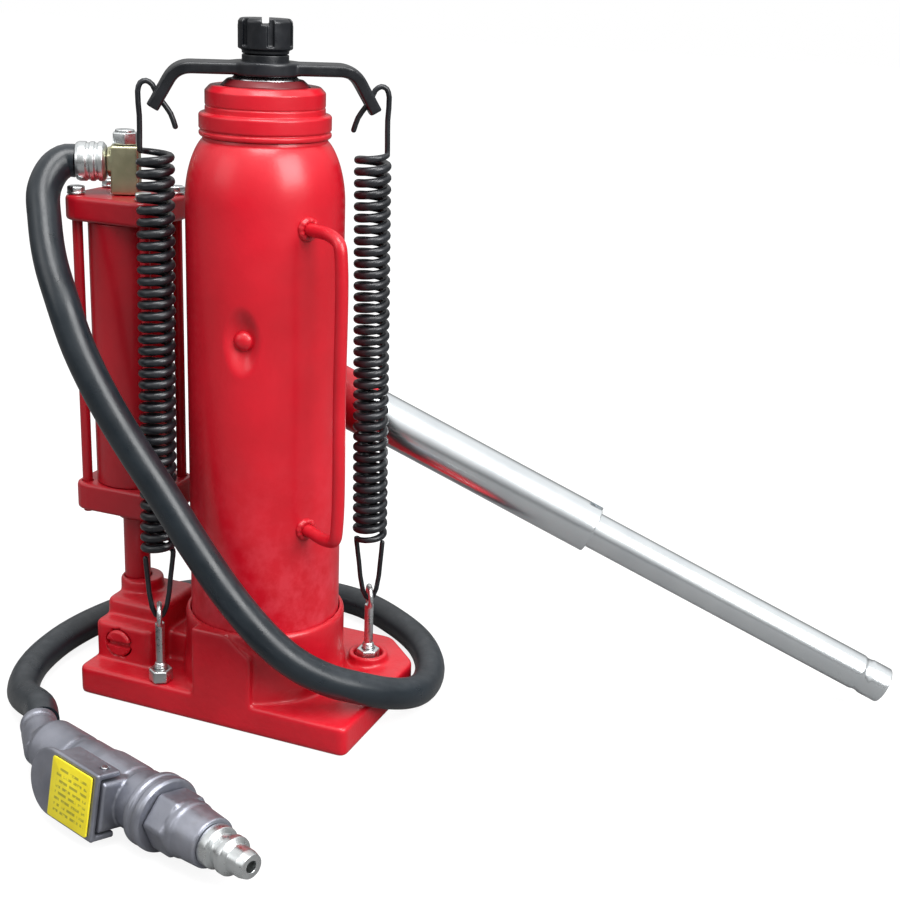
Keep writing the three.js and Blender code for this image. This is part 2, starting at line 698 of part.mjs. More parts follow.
function motorBase() {
  const outline = chamfered(motorX, motorY, motorWidth, motorDepth, motorCorner);
  const plate = slab(outline, motorLow, barrelLow, 1);
  const neck = turned([[0, motorLow - 6], [columnRadius + 1.5, motorLow - 6],
    [columnRadius + 6, motorLow + 1], [0, motorLow + 1]], motorX, motorY, 24);
  const spigot = disc(barrelRadius - barrelWall - gap, barrelLow - 1, barrelLow + 4, motorX, motorY);
  return cut(join(plate, neck, spigot),
    disc(columnRadius + gap, motorLow - 8, motorLow + 4, motorX, motorY),
    disc(rodBore, motorLow - 8, barrelLow + 8, motorX, motorY, 20),
    ...tieHoles(motorLow - 5, barrelLow + 1));
}

function motorCap() {
  const outline = chamfered(motorX, motorY, motorWidth, motorDepth, motorCorner);
  const plate = slab(outline, barrelHigh, motorHigh, 1.2);
  const spigot = disc(barrelRadius - barrelWall - gap, barrelHigh - 3, barrelHigh + 1, motorX, motorY);
  return cut(join(plate, spigot),
    disc(5 + gap, motorHigh - 6, motorHigh + 5, motorX, motorY, 24),
    disc(2, barrelHigh - 5, motorHigh + 5, motorX, motorY, 16),
    ...tieHoles(barrelHigh - 1, motorHigh + 5));
}

function tieRod(sx, sy) {
  const [x, y] = [motorX + sx * tieX, motorY + sy * tieY];
  const head = motorHigh + gap;
  return join(disc(tieRadius, motorLow - 2, head + 1, x, y, 14), disc(4, head, head + 3.4, x, y, 6));
}

function airColumn() {
  const low = plateHeight + 4 + gap;
  return turned([[0, low + 2], [rodBore, low + 2], [rodBore, motorLow + 4 - gap],
    [columnRadius, motorLow + 4 - gap], [columnRadius, low], [0, low]], motorX, motorY, 24);
}

function airPiston() {
  const r = barrelRadius - barrelWall - runningGap;
  const rodLow = plateHeight + 50;
  return turned([[0, rodLow], [airRodRadius, rodLow], [airRodRadius, pistonTop - 10],
    [r, pistonTop - 10], [r, pistonTop - 7], [r - 2.2, pistonTop - 7], [r - 2.2, pistonTop - 3.5],
    [r, pistonTop - 3.5], [r, pistonTop], [0, pistonTop]], motorX, motorY, 24);
}

function airPistonSeal() {
  const r = barrelRadius - barrelWall - 0.3;
  const inner = r + 0.3 - runningGap - 2.2 + gap;
  return ring(r, inner, pistonTop - 7 + gap, pistonTop - 3.5 - gap, motorX, motorY, 24);
}

function airReturnSpring() {
  const outer = barrelRadius - barrelWall - 2.5;
  return ring(outer, outer - 2, barrelLow + 4 + gap, pistonTop - 10 - gap, motorX, motorY, 24);
}

// ---------------------------------------------------------------- air fitting and hose
const portAim = new THREE.Vector3(-Math.cos(portTurn), -Math.sin(portTurn), 0);
const portPlace = new THREE.Vector3(motorX, motorY, fittingHeight);
const elbowHalf = 6.3;
const ferruleLength = 13;

function onPort(reach) {
  return portPlace.clone().addScaledVector(portAim, reach);
}

function elbowFitting() {
  const low = motorHigh - 6 + gap;
  const turn = new THREE.Matrix4().makeRotationZ(portTurn);
  const half = elbowHalf;
  const head = block([-half, -half, motorHigh + gap], [half, half, fittingHeight + 7.5]);
  head.applyMatrix4(turn).translate(motorX, motorY, 0);
  const stub = disc(5, low, motorHigh + 2, motorX, motorY, 20);
  const nose = aimed(disc(6.6, 0, elbowHalf + 1.5, 0, 0, 6), portPlace, portAim);
  return join(head, stub, nose);
}

function swivelCap() {
  const low = fittingHeight + 7.5 + gap;
  return turned([[0, low], [5.8, low], [5.8, low + 5.5], [5, low + 6.4], [0, low + 6.4]],
    motorX, motorY, 6);
}

function hoseFerrule(place, aim) {
  const outer = hoseRadius + 1.4;
  const profile = [[0, 0], [outer - 1.6, 0], [outer, 1.2], [outer, ferruleLength - 1],
    [outer - 0.6, ferruleLength], [0, ferruleLength]];
  return aimed(turned(profile, 0, 0, 24), place, aim);
}

const ferruleStart = onPort(elbowHalf + 1.5 + gap);
const hoseStart = onPort(elbowHalf + 1.5 + gap + ferruleLength + gap);

const valveAim = new THREE.Vector3(Math.cos(valveHeading), Math.sin(valveHeading), 0);
const valvePlace = new THREE.Vector3(-49, -101, valveHeight);
const inletAim = new THREE.Vector3(Math.cos(inletHeading), Math.sin(inletHeading), 0);
const hoseEnd = valvePlace.clone().addScaledVector(inletAim, -inletLength - gap);
const onFloor = hoseRadius + 0.4;

// Down in front of the bottle, round the right end of the base, behind it and back to the front.
const hoseRoute = [
  hoseStart.toArray(),
  hoseStart.clone().addScaledVector(portAim, 4).toArray(),
  [-95.5, -15.5, 240],
  [-96, -23, 231.5],
  [-91, -30, 219.5],
  [-83.5, -37.5, 205],
  [-74, -43.5, 190],
  [-63.5, -47, 170],
  [-50.5, -49, 150],
  [-37, -49.5, 131.5],
  [-23, -49, 113],
  [-7.5, -48, 91],
  [9.5, -46, 68.5],
  [25, -41.5, 50],
  [36, -36.5, 39.5],
  [47, -28.5, 31],
  [58, -18, 24.5],
  [67, -5, 18],
  [71.5, 12, 12],
  [70, 30, 8.5],
  [64, 48, onFloor],
  [50.5, 67.5, onFloor],
  [30, 84, onFloor],
  [4, 97, onFloor],
  [-22, 99, onFloor],
  [-48, 92, onFloor],
  [-76, 74, onFloor],
  [-96, 50, onFloor],
  [-106, 22, onFloor],
  [-109, -8, onFloor],
  [-104, -38, onFloor],
  [-91, -62, 8.5],
  hoseEnd.clone().addScaledVector(inletAim, -12).toArray(),
  hoseEnd.toArray(),
];

function airHose() {
  return bentRod(hoseRoute, hoseRadius, 60, 8);
}

// ---------------------------------------------------------------- air valve
// The valve is made along +X from its inlet face, then turned and put in its place.
function inValve(geometry) {
  return geometry.rotateX(valveRoll).rotateZ(valveHeading)
    .translate(valvePlace.x, valvePlace.y, valvePlace.z);
}

function valveTurned(profile, sides = 20) {
  return turned(profile, 0, 0, sides).rotateY(Math.PI / 2);
}

const valveLength = 74; // from the inlet end to the collar
const collarLength = 9;
const adaptorLength = 26;
const leverWidth = 28;
const leverNose = 37; // centre of the lever's round free end
const leverLow = valveRadius - 1.5;
const leverPinX = 60;
const stemX = 38;

function valveBody() {
  const r = valveRadius;
  const barrel = valveTurned([[0, 4], [r - 3, 4], [r - 1, 8], [r - 1, 40], [r, 46],
    [r, valveLength], [0, valveLength]]);
  const half = leverWidth / 2 - 3.5;
  const lug = block([leverPinX - 6, -half, 0], [leverPinX + 6, half, leverLow + 7]);
  const wide = hoseRadius + 0.6;
  const inlet = valveTurned([[0, -inletLength], [wide, -inletLength], [wide, 10], [0, 10]]);
  inlet.rotateZ(inletHeading - valveHeading).rotateX(-valveRoll);
  const pinHole = disc(1.8, -20, 20, 0, 0, 16).rotateX(Math.PI / 2);
  pinHole.translate(leverPinX, 0, leverLow + 3);
  const stemHole = disc(2.3, 2, 30, stemX, 0, 16);
  return inValve(cut(join(barrel, lug, inlet), pinHole, stemHole));
}

// A channel that bridges the body, wide and round at its free end, with a yellow plate on top.
function valveLever() {
  const half = leverWidth / 2;
  const shape = new THREE.Shape();
  shape.moveTo(leverPinX + 5, -half);
  shape.lineTo(leverPinX + 5, half);
  shape.lineTo(leverNose, half);
  shape.absarc(leverNose, 0, half, Math.PI / 2, 1.5 * Math.PI, false);
  shape.lineTo(leverPinX + 5, -half);
  const options = { depth: 2.2, bevelEnabled: false, curveSegments: 8 };
  const top = new THREE.ExtrudeGeometry(shape, options);
  top.translate(0, 0, leverLow + 7.6);
  const cheeks = [];
  for (const side of [-1, 1]) {
    const [near, far] = [side * (half - 2.6), side * half];
    const [low, high] = [Math.min(near, far), Math.max(near, far)];
    cheeks.push(block([leverPinX - 22, low, leverLow - 1], [leverPinX + 5, high, leverLow + 8]));
  }
  const pinHole = disc(1.8, -20, 20, 0, 0, 16).rotateX(Math.PI / 2);
  pinHole.translate(leverPinX, 0, leverLow + 3);
  return inValve(cut(join(top, ...cheeks), pinHole));
}

function leverPin() {
  const half = leverWidth / 2 + 0.5;
  return inValve(disc(1.5, -half, half, 0, 0, 14).rotateX(Math.PI / 2)
    .translate(leverPinX, 0, leverLow + 3));
}

function valveStem() {
  return inValve(disc(2, 5, leverLow + 7.2, stemX, 0, 16));
}

function labelPlate() {
  const half = leverWidth / 2 - 1.6;
  const low = leverLow + 7.6 + 2.2 + gap;
  return inValve(block([leverNose + 1, -half, low], [leverPinX + 3, half, low + 0.7]));
}

function valveCollar() {
  const start = valveLength + gap;
  const end = start + collarLength;
  const r = valveHeight - 0.4;
  return inValve(valveTurned([[0, start], [r - 1, start], [r, start + 1], [r, end - 1],
    [r - 1, end], [0, end]], 24));
}

function hexAdaptor() {
  const start = valveLength + gap + collarLength + gap;
  const mid = start + 11;
  const wide = valveRadius + 0.5;
  const hex = valveTurned([[0, start], [wide, start], [wide, mid], [0, mid]], 6);
  const cone = valveTurned([[0, mid - 1], [wide - 1.6, mid - 1], [wide - 3, start + adaptorLength],
    [0, start + adaptorLength]]);
  return inValve(join(hex, cone));
}

function couplerNipple() {
  const start = valveLength + gap + collarLength + gap + adaptorLength + gap;
  const end = start + nippleLength;
  const bore = 2.4;
  return inValve(valveTurned([[bore, start], [8.4, start], [8.4, start + 4], [6.2, start + 5],
    [6.2, start + 8], [7.8, start + 9], [7.8, start + 11.5], [5.6, start + 13],
    [5.6, end - 3], [4.8, end], [bore, end], [bore, start]]));
}

// ---------------------------------------------------------------- release valve
function releaseValve() {
  const screw = disc(5, pocketDepth - 1, pocketDepth + 12 - gap, 0, 0, 20);
  const head = turned([[0, -1], [5.5, -1], [6.5, 0], [6.5, pocketDepth - gap],
    [0, pocketDepth - gap]], 0, 0, 20);
  const slot = block([-8, -1.6, -3], [8, 1.6, 3]);
  return intoBlock(cut(join(screw, head), slot));
}

// ---------------------------------------------------------------- the assembly
part('base_casting', baseCasting(), red());
part('bottle', bottleShell(), red());
part('pressure_cylinder', pressureCylinder(), steel());
part('top_nut', topNut(), red());
part('gland_ring', glandRing(), paint(0x7a1420, 0.5, 0.1));
part('ram', ramTube(), steel());
part('ram_piston', ramPiston(), steel());
part('ram_seal', ramSeal(), sealRubber());
part('extension_screw', extensionScrew(), black());
part('saddle', saddlePad(), black());
part('crossbar', crossbar(), black());
part('left_spring', springBody(-1, leftEye), black());
part('right_spring', springBody(1, rightEye), black());
part('left_eye_bolt', eyeBolt(leftEye), zinc());
part('right_eye_bolt', eyeBolt(rightEye), zinc());
part('left_eye_nut', eyeNut(leftEye), zinc());
part('right_eye_nut', eyeNut(rightEye), zinc());
part('carry_handle', carryHandle(), red());
part('filler_plug', fillerPlug(), red());
part('release_valve', releaseValve(), red());
part('pump_cylinder', pumpCylinder(), red());
part('pump_plunger', pumpPlunger(), steel());
part('pump_seal', pumpSeal(), sealRubber());
part('fulcrum_post', fulcrumPost(), red());
part('fulcrum_pin', acrossPin(fulcrum, pinRadius, 2 * earThickness + eyeThickness + 3), steel());
part('plunger_pin', acrossPin(plungerPin, pinRadius, 2 * earThickness + eyeThickness + 3), steel());
part('handle_socket', handleSocket(), red());
part('handle_tube', handleTube(), zinc());
part('handle_extension', handleExtension(), zinc());
part('motor_base', motorBase(), red());
part('motor_barrel', ring(barrelRadius, barrelRadius - barrelWall, barrelLow + gap,
  barrelHigh - gap, motorX, motorY, 24), red());
part('motor_cap', motorCap(), red());
[[-1, -1], [1, -1], [1, 1], [-1, 1]].forEach(([sx, sy], i) => {
  part(`tie_rod_${i + 1}`, tieRod(sx, sy), red());
});
part('air_column', airColumn(), red());
part('air_piston', airPiston(), steel());
part('air_piston_seal', airPistonSeal(), sealRubber());
part('air_return_spring', airReturnSpring(), steel());
part('elbow_fitting', elbowFitting(), brass());
part('swivel_cap', swivelCap(), zinc());
part('hose_ferrule', hoseFerrule(ferruleStart, portAim), zinc());
part('air_hose', airHose(), rubber());
part('valve_body', valveBody(), castZinc());
part('valve_lever', valveLever(), castZinc());
part('lever_pin', leverPin(), steel());
part('valve_stem', valveStem(), brass());
part('label_plate', labelPlate(), yellow());
part('valve_collar', valveCollar(), castZinc());
part('hex_adaptor', hexAdaptor(), castZinc());
part('coupler_nipple', couplerNipple(), zinc());

export default jack;
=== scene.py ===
# %% [markdown]
# # An air and hydraulic bottle jack
#
# The jack lifts a vehicle in two ways: a hand pump with a long two-piece handle, or an air motor
# that is fed through a rubber hose. A bottle full of oil stands in a cast base, a ram comes up out
# of it, and two long springs pull the ram down again.
#
# Every piece takes its place from a fixed frame of plain solids, one for each real piece. The frame
# says where each piece is and what moves it. What is made here is the fine surface over each of them.

import json
import math

import bmesh
import bpy
import numpy as np
from mathutils import Matrix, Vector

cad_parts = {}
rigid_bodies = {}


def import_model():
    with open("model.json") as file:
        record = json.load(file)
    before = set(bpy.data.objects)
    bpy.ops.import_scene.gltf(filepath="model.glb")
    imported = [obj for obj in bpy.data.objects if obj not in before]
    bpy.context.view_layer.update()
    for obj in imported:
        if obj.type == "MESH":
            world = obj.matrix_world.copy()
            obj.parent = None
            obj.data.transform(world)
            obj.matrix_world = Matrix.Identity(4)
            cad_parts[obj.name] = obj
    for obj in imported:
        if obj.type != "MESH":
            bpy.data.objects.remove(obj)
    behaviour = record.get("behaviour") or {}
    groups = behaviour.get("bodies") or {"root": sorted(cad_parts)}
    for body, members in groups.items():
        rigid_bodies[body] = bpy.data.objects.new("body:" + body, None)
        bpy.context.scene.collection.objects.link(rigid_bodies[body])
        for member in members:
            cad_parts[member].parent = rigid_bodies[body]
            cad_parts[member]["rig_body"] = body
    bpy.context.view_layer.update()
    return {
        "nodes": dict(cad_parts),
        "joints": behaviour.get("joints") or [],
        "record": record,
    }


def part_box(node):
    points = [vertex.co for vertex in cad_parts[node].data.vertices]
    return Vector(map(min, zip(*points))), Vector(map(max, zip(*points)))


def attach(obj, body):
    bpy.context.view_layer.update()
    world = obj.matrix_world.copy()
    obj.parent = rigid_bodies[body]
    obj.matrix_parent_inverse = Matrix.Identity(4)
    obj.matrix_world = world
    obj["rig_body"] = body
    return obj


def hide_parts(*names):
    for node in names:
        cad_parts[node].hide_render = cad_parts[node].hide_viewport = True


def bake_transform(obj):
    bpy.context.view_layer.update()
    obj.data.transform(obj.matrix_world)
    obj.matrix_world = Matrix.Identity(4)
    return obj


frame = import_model()
mm = 0.001
record = frame["record"]
joints = {joint["name"]: joint for joint in frame["joints"]}
slot_of = {part["node"]: part["material_slot"] for part in record["subparts"]}
print("nodes in the frame:", len(frame["nodes"]))

# %% [markdown]
# Lengths are written in millimetres, as on a drawing, and turned into metres once, when a mesh is
# made. A place comes from the box of the frame's own node, so that it is never written twice.


# %% Places read from the frame
def extent(node):
    """Lowest and highest corner of a node, in millimetres."""
    low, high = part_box(node)
    return np.array(low) / mm, np.array(high) / mm


def centre(node):
    low, high = extent(node)
    return (low + high) / 2


def ends_of(node):
    """Lowest and highest height of a node, in millimetres."""
    low, high = extent(node)
    return low[2], high[2]


def radius_of(node):
    """Half of a node's width along X, which is the radius of an upright round piece."""
    low, high = extent(node)
    return (high[0] - low[0]) / 2


def unit(vector):
    vector = np.asarray(vector, float)
    return vector / np.linalg.norm(vector)


def joint_axis(name):
    return unit(joints[name]["axis"])


up = np.array([0.0, 0.0, 1.0])
print("bottle stands from", *ends_of("bottle"), "mm")

# %% [markdown]
# ## The surfaces that everything is built from
#
# Almost every piece of a jack is turned on a lathe, bent from wire or pressed from plate, so three
# kinds of surface make them all. A turned surface is a profile carried round an axis. A drawn
# surface is a circle carried along a path. A pressed surface is a flat outline carried along a
# small profile, which rounds its rims. Each is a grid of points worked out as one array, and the
# same rule then joins the grid's neighbours into faces.


# %% Grids of points and their faces
def grid_faces(rows, columns, closed):
    """Four-sided faces between neighbours of a grid whose columns run round and meet again."""
    row = np.arange(rows if closed else rows - 1)[:, None]
    column = np.arange(columns)[None, :]
    next_row, next_column = (row + 1) % rows, (column + 1) % columns
    corners = [row * columns + column, row * columns + next_column,
               next_row * columns + next_column, next_row * columns + column]
    return np.stack(corners, -1).reshape(-1, 4)


def surface(grid, closed=False):
    """A grid of points (rows, columns, 3) as its points and its faces."""
    rows, columns = grid.shape[:2]
    return grid.reshape(-1, 3), grid_faces(rows, columns, closed).tolist()


def together(*surfaces):
    """Several surfaces as one, with each one's faces counting on from the points before it."""
    points, faces, start = [], [], 0
    for own_points, own_faces in surfaces:
        points.append(own_points)
        faces += [[corner + start for corner in face] for face in own_faces]
        start += len(own_points)
    return np.concatenate(points), faces


def softened(corners, fillet, closed=False, steps=4):
    """A polygon whose corners are cut by parabolas that start a fillet's length from each corner.

    With P and Q the points a fillet from corner C towards its neighbours, the curve is
    (1 - t)^2 P + 2 t (1 - t) C + t^2 Q. A fillet never takes more than half an edge.
    """
    corners = np.asarray(corners, float)
    before, after = np.roll(corners, 1, 0), np.roll(corners, -1, 0)
    to_before, to_after = before - corners, after - corners
    back = np.linalg.norm(to_before, axis=1, keepdims=True) + 1e-9
    ahead = np.linalg.norm(to_after, axis=1, keepdims=True) + 1e-9
    size = np.broadcast_to(np.asarray(fillet, float).reshape(-1, 1), back.shape)
    start = corners + to_before * np.minimum(size / back, 0.49)
    end = corners + to_after * np.minimum(size / ahead, 0.49)
    t = np.linspace(0, 1, steps + 1)[None, :, None]
    curves = (1 - t) ** 2 * start[:, None] + 2 * t * (1 - t) * corners[:, None] + t**2 * end[:, None]
    if closed:
        return curves.reshape(-1, corners.shape[1])
    middle = curves[1:-1].reshape(-1, corners.shape[1])
    return np.concatenate([corners[:1], middle, corners[-1:]])


# %% Turned surfaces
def turned(profile, fillet=0.5, sides=96, closed=False):
    """A profile of (radius, height) carried round Z: (r cos a, r sin a, z) for a from 0 to 2 pi."""
    outline = softened(profile, fillet, closed)
    angle = np.linspace(0, 2 * math.pi, sides, endpoint=False)
    radius, height = outline[:, :1], outline[:, 1:]
    grid = np.stack([radius * np.cos(angle), radius * np.sin(angle),
                     height + 0 * angle], -1)
    return surface(grid, closed)


def ring(outer, inner, low, high, fillet=0.4, sides=96):
    corners = [(inner, low), (outer, low), (outer, high), (inner, high)]
    return turned(corners, fillet, sides, closed=True)


def disc(radius, low, high, fillet=0.4, sides=96):
    return turned([(0, low), (radius, low), (radius, high), (0, high)], fillet, sides)


# %% Pressed surfaces
def pressed(outline, low, high, rim=0.8, steps=4):
    """A flat outline pushed up from low to high, with round rims at both ends.

    Row by row the outline moves in along its own normals by rim (1 - sin b) while its height
    moves by rim (1 - cos b), for b from 0 to a quarter turn, and the two ends are flat faces.
    """
    outline = np.asarray(outline, float)
    along = np.roll(outline, -1, 0) - np.roll(outline, 1, 0)
    normal = np.stack([along[:, 1], -along[:, 0]], -1)
    normal /= np.linalg.norm(normal, axis=1, keepdims=True) + 1e-12
    bend = np.linspace(0, math.pi / 2, steps)
    inset = rim * (1 - np.sin(bend))
    rise = rim * (1 - np.cos(bend))
    insets = np.concatenate([inset, inset[::-1]])
    heights = np.concatenate([low + rise, (high - rise)[::-1]])
    flat = outline[None] - insets[:, None, None] * normal[None]
    grid = np.concatenate([flat, np.broadcast_to(heights[:, None, None], flat.shape[:2] + (1,))], -1)
    points, faces = surface(grid)
    count = len(outline)
    faces.append(list(range(count))[::-1])
    faces.append(list(range(len(points) - count, len(points))))
    return points, faces


def rectangle(left, right, front, back, corner=2.0):
    return softened([(left, front), (right, front), (right, back), (left, back)], corner, closed=True)


def block(low, high, corner=1.0, rim=0.6):
    return pressed(rectangle(low[0], high[0], low[1], high[1], corner), low[2], high[2], rim)


def hexagon(across, corner=0.6):
    """A six-sided outline of that size across its flats."""
    angle = np.arange(6) * math.pi / 3 + math.pi / 6
    reach = across / math.sqrt(3)
    return softened(np.stack([reach * np.cos(angle), reach * np.sin(angle)], -1), corner, closed=True)


# %% Drawn surfaces
def flowing(points, samples=8):
    """A smooth line through the points: a centripetal Catmull-Rom curve.

    Knots are spaced by the square root of the distance between points, and each span is the
    cubic with the ends and slopes that those knots give.
    """
    points = np.asarray(points, float)
    ends = np.stack([2 * points[0] - points[1], 2 * points[-1] - points[-2]])
    full = np.concatenate([ends[:1], points, ends[1:]])
    step = np.sqrt(np.linalg.norm(np.diff(full, axis=0), axis=1))[:, None]
    a, b, c, d = full[:-3], full[1:-2], full[2:-1], full[3:]
    one, two, three = step[:-2], step[1:-1], step[2:]
    slope_b = ((b - a) / one - (c - a) / (one + two) + (c - b) / two) * two
    slope_c = ((c - b) / two - (d - b) / (two + three) + (d - c) / three) * two
    t = np.linspace(0, 1, samples, endpoint=False)[None, :, None]
    b, c, slope_b, slope_c = (value[:, None] for value in (b, c, slope_b, slope_c))
    line = (b * (2 * t**3 - 3 * t**2 + 1) + slope_b * (t**3 - 2 * t**2 + t)
            + c * (3 * t**2 - 2 * t**3) + slope_c * (t**3 - t**2))
    return np.concatenate([line.reshape(-1, 3), points[-1:]])


def evenly(line, count):
    """The same line with its points at equal distances along it."""
    travelled = np.concatenate([[0], np.cumsum(np.linalg.norm(np.diff(line, axis=0), axis=1))])
    wanted = np.linspace(0, travelled[-1], count)
    return np.stack([np.interp(wanted, travelled, line[:, k]) for k in range(3)], -1)


def length_of(line):
    return float(np.linalg.norm(np.diff(line, axis=0), axis=1).sum())


def carried_frames(line, closed=False):
    """Tangent and two crosswise directions at each point, turned along the line without twist."""
    ahead = np.roll(line, -1, 0) - np.roll(line, 1, 0)
    if not closed:
        ahead[0], ahead[-1] = line[1] - line[0], line[-1] - line[-2]
    tangent = ahead / np.linalg.norm(ahead, axis=1, keepdims=True)
    first = np.cross(tangent[0], up if abs(tangent[0][2]) < 0.9 else [1.0, 0, 0])
    across = [unit(first)]
    for direction in tangent[1:]:
        last = across[-1]
        across.append(unit(last - (last @ direction) * direction))
    across = np.array(across)
    return tangent, across, np.cross(tangent, across)


def drawn(line, radius, sides=16, closed=False, dome=True):
    """A circle carried along a line: p + r (cos a n + sin a b), with n and b across the line.

    The ends are closed by half balls, or by flat faces where dome is false.
    """
    line = np.asarray(line, float)
    tangent, across, beside = carried_frames(line, closed)
    reach = np.broadcast_to(np.asarray(radius, float), len(line)).copy()
    if not closed:
        bend = np.linspace(0, math.pi / 2, 5)[1:]
        out = np.sin(bend) if dome else np.zeros(1)
        size = np.cos(bend) if dome else np.zeros(1)
        line = np.concatenate([line[0] - reach[0] * out[::-1, None] * tangent[0], line,
                               line[-1] + reach[-1] * out[:, None] * tangent[-1]])
        reach = np.concatenate([reach[0] * size[::-1], reach, reach[-1] * size])
        grow = ((len(out), len(out)), (0, 0))
        across, beside = np.pad(across, grow, mode="edge"), np.pad(beside, grow, mode="edge")
    angle = np.linspace(0, 2 * math.pi, sides, endpoint=False)
    turn = (np.cos(angle)[None, :, None] * across[:, None]
            + np.sin(angle)[None, :, None] * beside[:, None])
    return surface(line[:, None] + reach[:, None, None] * turn, closed)


# %% Turning a surface into its place
def axes_along(aim, top=up):
    """Three directions as rows: the third along aim, and the second as near to top as it can be."""
    aim = unit(aim)
    side = unit(np.cross(top, aim) if abs(unit(top) @ aim) < 0.999 else [1.0, 0, 0])
    return np.array([side, np.cross(aim, side), aim])


def put(shape, place=(0, 0, 0), axes=np.eye(3)):
    """x, y and z of each point count along the three axes, from the place."""
    points, faces = shape
    return points @ np.asarray(axes) + np.asarray(place, float), faces


def spun(shape, degrees):
    """The surface turned about Z."""
    angle = math.radians(degrees)
    cos, sin = math.cos(angle), math.sin(angle)
    return put(shape, axes=[[cos, sin, 0], [-sin, cos, 0], [0, 0, 1]])


print("a turned disc has", len(disc(10, 0, 5)[1]), "faces")

# %% [markdown]
# ## From arrays to pieces
#
# A mesh is made from its arrays in one call. Points that fall on each other at a pole are merged,
# the faces are turned outwards, and edges sharper than a set angle stay crisp while the rest are
# shaded smooth.
#
# Castings are different: a sand casting has no sharp corner anywhere. They are built from plain
# overlapping shapes, with their holes cut out, and then wrapped in one skin of small squares that
# is relaxed a little, which rounds the inner and outer corners alike, as the sand and the paint do.


# %% Meshes and objects
crisp_angle = math.radians(32)


def as_object(name, shape, angle=crisp_angle):
    """A new mesh object, in metres, with merged poles and faces that point outwards."""
    points, faces = shape
    mesh = bpy.data.meshes.new(name)
    mesh.from_pydata((points * mm).tolist(), [], faces)
    work = bmesh.new()
    work.from_mesh(mesh)
    bmesh.ops.remove_doubles(work, verts=work.verts, dist=2e-7)
    bmesh.ops.recalc_face_normals(work, faces=work.faces)
    work.to_mesh(mesh)
    work.free()
    mesh.shade_smooth()
    mesh.set_sharp_from_angle(angle=angle)
    made = bpy.data.objects.new(name, mesh)
    bpy.context.scene.collection.objects.link(made)
    return made


def settle(made):
    """Replaces an object's mesh by what its modifiers make of it."""
    seen = made.evaluated_get(bpy.context.evaluated_depsgraph_get())
    mesh = bpy.data.meshes.new_from_object(seen)
    made.modifiers.clear()
    made.data = mesh
    return made


def cut_from(made, cutters):
    """Takes the cutters' space out of an object."""
    tool = as_object("tool", together(*cutters))
    cut = made.modifiers.new("cut", "BOOLEAN")
    cut.operation = "DIFFERENCE"
    cut.solver = "EXACT"
    cut.use_self = True
    cut.object = tool
    settle(made)
    bpy.data.objects.remove(tool)
    return made


def machined(name, shapes, cutters=(), angle=crisp_angle):
    """A piece with crisp edges: its shapes together, less its cutters."""
    made = as_object(name, together(*shapes), angle)
    if cutters:
        cut_from(made, cutters)
        made.data.shade_smooth()
        made.data.set_sharp_from_angle(angle=angle)
    return made


def cast(name, shapes, cutters=(), square=0.8, relax=3, angle=math.radians(60)):
    """A piece with soft edges: shapes less cutters, wrapped in a skin of squares and relaxed."""
    made = as_object(name, together(*shapes))
    if cutters:
        cut_from(made, cutters)
    skin = made.modifiers.new("skin", "REMESH")
    skin.mode = "VOXEL"
    skin.voxel_size = square * mm
    ease = made.modifiers.new("ease", "SMOOTH")
    ease.factor = 0.5
    ease.iterations = relax
    settle(made)
    made.data.shade_smooth()
    made.data.set_sharp_from_angle(angle=angle)
    return made


print("helpers are ready")

# %% [markdown]
# ## The camera, the floor and the light
#
# The jack is seen from a little above its top, from its front right. A plain floor runs far enough
# to leave no edge in view. A big soft lamp stands at the right front, a weak one at the left front
# and a third above. The camera alone sees the floor and the sky as nearly white: a Light Path
# node tells its rays from all others. For the others the floor is grey, and the sky is dim at the horizon and
# brighter overhead, so that the paint keeps its depth.

# %% Camera
camera_place = np.array([300.6, -542.3, 330.0])
camera_right = unit([0.92566, 0.37622, 0.04025])
camera_ahead = unit([-0.34538, 0.88361, -0.31614])
camera_up = np.cross(camera_right, camera_ahead)
camera = bpy.data.objects.new("camera", bpy.data.cameras.new("camera"))
camera.data.lens = 57.96
camera.data.sensor_width = 36
camera.data.clip_start = 0.01
pose = np.eye(4)
pose[:3, 0], pose[:3, 1], pose[:3, 2] = camera_right, camera_up, -camera_ahead
pose[:3, 3] = camera_place * mm
camera.matrix_world = Matrix(pose.tolist())
bpy.context.scene.collection.objects.link(camera)
bpy.context.scene.camera = camera
print("camera stands", round(float(np.linalg.norm(camera_place))), "mm from the origin")

# %% Floor, lamps and sky
scene = bpy.context.scene
scene.view_settings.view_transform = "Standard"
floor_half = 6000
floor_glow = 0.88
floor = as_object("floor", (np.array([[-1, -1, 0], [1, -1, 0], [1, 1, 0], [-1, 1, 0]]) * floor_half,
                            [[0, 1, 2, 3]]))
floor_paint = bpy.data.materials.new("pale_floor")
floor_paint.use_nodes = True
floor_tree = floor_paint.node_tree
floor_shader = floor_tree.nodes["Principled BSDF"]
floor_shader.inputs["Base Color"].default_value = (0.17, 0.17, 0.17, 1)
floor_shader.inputs["Roughness"].default_value = 0.9
floor_shader.inputs["Specular IOR Level"].default_value = 0.1
floor_shader.inputs["Emission Color"].default_value = (1, 1, 1, 1)
floor_seen = floor_tree.nodes.new("ShaderNodeLightPath").outputs["Is Camera Ray"]
glow = floor_tree.nodes.new("ShaderNodeMath")
glow.operation = "MULTIPLY"
glow.inputs[1].default_value = floor_glow
floor_tree.links.new(floor_seen, glow.inputs[0])
floor_tree.links.new(glow.outputs[0], floor_shader.inputs["Emission Strength"])
floor.data.materials.append(floor_paint)


